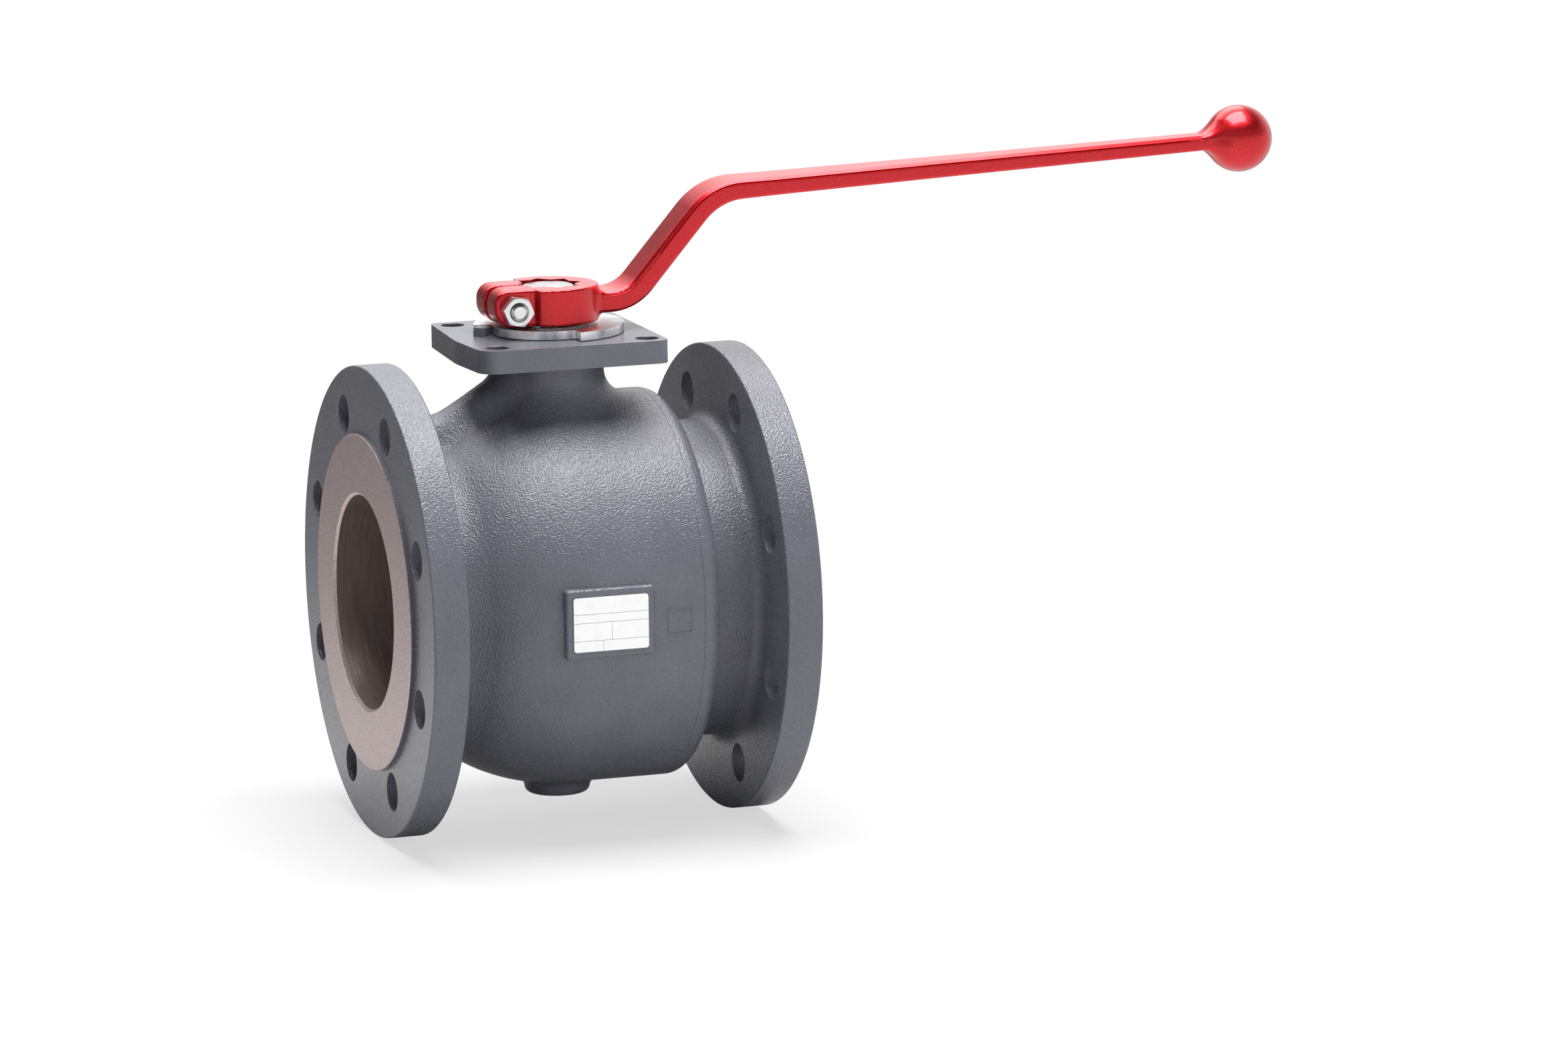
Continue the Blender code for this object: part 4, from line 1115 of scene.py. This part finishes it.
def ruled_film():
    """Satin white film with thin dark rules that divide it into blank boxes."""
    made, tree, shader = new_finish("ruled_film")
    split = tree.nodes.new("ShaderNodeSeparateXYZ")
    tree.links.new(where(tree), split.inputs["Vector"])
    along, up = split.outputs["X"], split.outputs["Z"]

    def between(value, low, high):
        return arithmetic("MULTIPLY", arithmetic("GREATER_THAN", value, low),
                          arithmetic("LESS_THAN", value, high))

    def height_at(share):
        return label_low.z + share * label_size.z

    lines = [between(up, height_at(share) - rule_width / 2.0, height_at(share) + rule_width / 2.0)
             for share in rules_across]
    for share, low, high in rules_up:
        x = label_low.x + share * label_size.x
        line = between(along, x - rule_width / 2.0, x + rule_width / 2.0)
        lines.append(arithmetic("MULTIPLY", line, between(up, height_at(low), height_at(high))))
    ink = lines[0]
    for line in lines[1:]:
        ink = arithmetic("MAXIMUM", ink, line)
    mottle = grain(tree, 300.0)
    paper = tones(mottle, (0.3, (0.84, 0.84, 0.84)), (0.7, (0.88, 0.88, 0.88)))
    mix = tree.nodes.new("ShaderNodeMix")
    mix.data_type = "RGBA"
    tree.links.new(ink, mix.inputs["Factor"])
    tree.links.new(paper, mix.inputs[6])
    mix.inputs[7].default_value = rule_ink
    coloured(shader, mix.outputs[2], spread(mottle, 0.38, 0.48))
    relief(shader, grain(tree, 1200.0), 0.00002)
    return made


dress(label, ruled_film(), "valve_body", "rating_label")

# Studio floor
# A plain white floor that the flanges stand on. It keeps the valve's shadow, whitens away from the valve,
# and shows in gloss as brighter to the front right.
floor_z = -flange_r
floor_half = 14.0
floor_grey = (0.58, 0.58, 0.58, 1.0)
white = (1.0, 1.0, 1.0, 1.0)
floor_glow = (0.62, 1.0)
floor_glow_reach = (0.30, 1.1)
mirrored_share = (0.0, 0.85)
mirrored_share_reach = (0.25, 0.9)
mirrored_glow = (0.12, 1.0)
mirrored_glow_reach = (-0.2, 0.5)
bright_side = (0.7, -0.7, 0.0)


def sight(tree):
    """One where the camera looks, and one where a mirror or glass does; light on the valve has neither."""
    path = tree.nodes.new("ShaderNodeLightPath")
    shown = arithmetic("MAXIMUM", path.outputs["Is Glossy Ray"], path.outputs["Is Transmission Ray"])
    return path.outputs["Is Camera Ray"], shown


floor_shape = bmesh.new()
bmesh.ops.create_grid(floor_shape, x_segments=1, y_segments=1, size=floor_half)
floor = from_shape("floor", floor_shape)
floor.location.z = floor_z
floor_paint, floor_tree, floor_shader = new_finish("white_floor")
set_up(floor_shader, base_color=floor_grey, roughness=0.9)
glow = floor_tree.nodes.new("ShaderNodeEmission")
set_up(glow, color=white)
blend = floor_tree.nodes.new("ShaderNodeMixShader")


def on_floor(operation, vector):
    """Distance from a place on the floor, or how far along a direction it lies."""
    node = floor_tree.nodes.new("ShaderNodeVectorMath")
    node.operation = operation
    node.inputs[1].default_value = vector
    floor_tree.links.new(where(floor_tree), node.inputs[0])
    return node.outputs["Value"]


to_camera, to_mirror = sight(floor_tree)
from_valve = on_floor("DISTANCE", (0.0, 0.0, 0.0))
seen = spread(from_valve, *floor_glow, *floor_glow_reach)
share = arithmetic("MULTIPLY", to_camera, seen)
mirrored = spread(from_valve, *mirrored_share, *mirrored_share_reach)
share = arithmetic("MULTIPLY_ADD", to_mirror, mirrored, share)
floor_tree.links.new(share, blend.inputs["Fac"])
brightness = spread(on_floor("DOT_PRODUCT", bright_side), *mirrored_glow, *mirrored_glow_reach)
brightness = arithmetic("MAXIMUM", brightness, to_camera)
floor_tree.links.new(brightness, glow.inputs["Strength"])
floor_tree.links.new(floor_shader.outputs["BSDF"], blend.inputs[1])
floor_tree.links.new(glow.outputs["Emission"], blend.inputs[2])
floor_tree.links.new(blend.outputs["Shader"], floor_tree.nodes["Material Output"].inputs["Surface"])
floor.data.materials.append(floor_paint)

# Studio room and lamps
# A large softbox straight overhead, from which the bright fittings are shielded, another high at the back,
# and a broad low fill from the front right that gloss doesn't show. The walls are pale, with a dim ceiling
# and shade to the front and the inlet side.
ambient = 0.22
ceiling = 0.25
ceiling_edge = (0.45, 0.72)
front_shade = 0.7
front_shade_edge = (-0.3, 0.5)
front_shade_rise = (0.0, 0.25)
inlet_shade = 0.85
inlet_shade_edge = (-0.8, -0.5)
darkest_wall = 0.05
world = bpy.data.worlds.new("studio")
world.use_nodes = True
bpy.context.scene.world = world
room_tree = world.node_tree
world_light = room_tree.nodes["Background"]
set_up(world_light, color=white)
room = room_tree.nodes.new("ShaderNodeSeparateXYZ")
direction = room_tree.nodes.new("ShaderNodeTexCoord").outputs["Generated"]
room_tree.links.new(direction, room.inputs["Vector"])
mirrored = spread(room.outputs["Z"], 1.0, ceiling, *ceiling_edge)
front = spread(room.outputs["Y"], front_shade, 0.0, *front_shade_edge)
above_floor = spread(room.outputs["Z"], 0.0, 1.0, *front_shade_rise)
front = arithmetic("MULTIPLY", front, above_floor)
mirrored = arithmetic("SUBTRACT", mirrored, front)
towards_bright = arithmetic("SUBTRACT", room.outputs["X"], room.outputs["Y"])
towards_bright = arithmetic("MULTIPLY", towards_bright, bright_side[0])
inlet = spread(towards_bright, inlet_shade, 0.0, *inlet_shade_edge)
mirrored = arithmetic("MULTIPLY", mirrored, arithmetic("SUBTRACT", 1.0, inlet))
mirrored = arithmetic("MAXIMUM", mirrored, darkest_wall)
to_camera, to_mirror = sight(room_tree)
strength = arithmetic("MULTIPLY_ADD", to_camera, 1.0 - ambient, ambient)
mirrored = arithmetic("SUBTRACT", mirrored, ambient)
strength = arithmetic("MULTIPLY_ADD", to_mirror, mirrored, strength)
room_tree.links.new(strength, world_light.inputs["Strength"])


def softbox(name, place, aim, size, power):
    lamp = bpy.data.lights.new(name, "AREA")
    lamp.shape = "RECTANGLE"
    lamp.size, lamp.size_y = size
    lamp.energy = power
    obj = placed(name, lamp)
    obj.location = place
    obj.rotation_euler = (Vector(aim) - Vector(place)).to_track_quat("-Z", "Y").to_euler()
    return obj


overhead = softbox("overhead_softbox", (0.15, -0.1, 1.7), (0.15, -0.1, 0.0), (1.3, 1.3), 60.0)
shielded = bpy.data.collections.new("shielded_from_overhead")
overhead.light_linking.receiver_collection = shielded
for piece in (disc, stem, bolt, nut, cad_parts["retaining_ring"]):
    shielded.objects.link(piece)
for linked in shielded.collection_objects:
    linked.light_linking.link_state = "EXCLUDE"
softbox("back_softbox", (0.0, 3.0, 3.0), (0.0, 0.0, 0.0), (4.0, 2.2), 83.0)
front_fill = softbox("front_fill", (2.4, -3.6, 0.85), (0.0, 0.0, 0.0), (5.0, 3.0), 112.0)
front_fill.visible_glossy = False

# Camera
# A long lens a little above the valve and to its inlet side. Its place and focal length were fitted to
# the outlines of both flanges.
camera_azimuth = math.radians(-18.907)
camera_elevation = math.radians(10.645)
camera_roll = math.radians(-0.689)
camera_target = Vector((0.114327, 0.0, 0.023436))
camera_distance = 3.49315
focal_pixels = 11129.2
photo_width = 2359
lens = bpy.data.cameras.new("camera")
lens.sensor_width = 36.0
lens.lens = lens.sensor_width * focal_pixels / photo_width
lens.clip_end = 100.0
camera = placed("camera", lens)
back = Vector((math.sin(camera_azimuth) * math.cos(camera_elevation),
               -math.cos(camera_azimuth) * math.cos(camera_elevation), math.sin(camera_elevation)))
level = Vector((math.cos(camera_azimuth), math.sin(camera_azimuth), 0.0))
upward = back.cross(level)
right = level * math.cos(camera_roll) + upward * math.sin(camera_roll)
top = upward * math.cos(camera_roll) - level * math.sin(camera_roll)
turned_to_valve = Matrix((right, top, back)).transposed().to_4x4()
camera.matrix_world = Matrix.Translation(camera_target + camera_distance * back) @ turned_to_valve
bpy.context.scene.camera = camera
bpy.context.scene.view_settings.view_transform = "Standard"
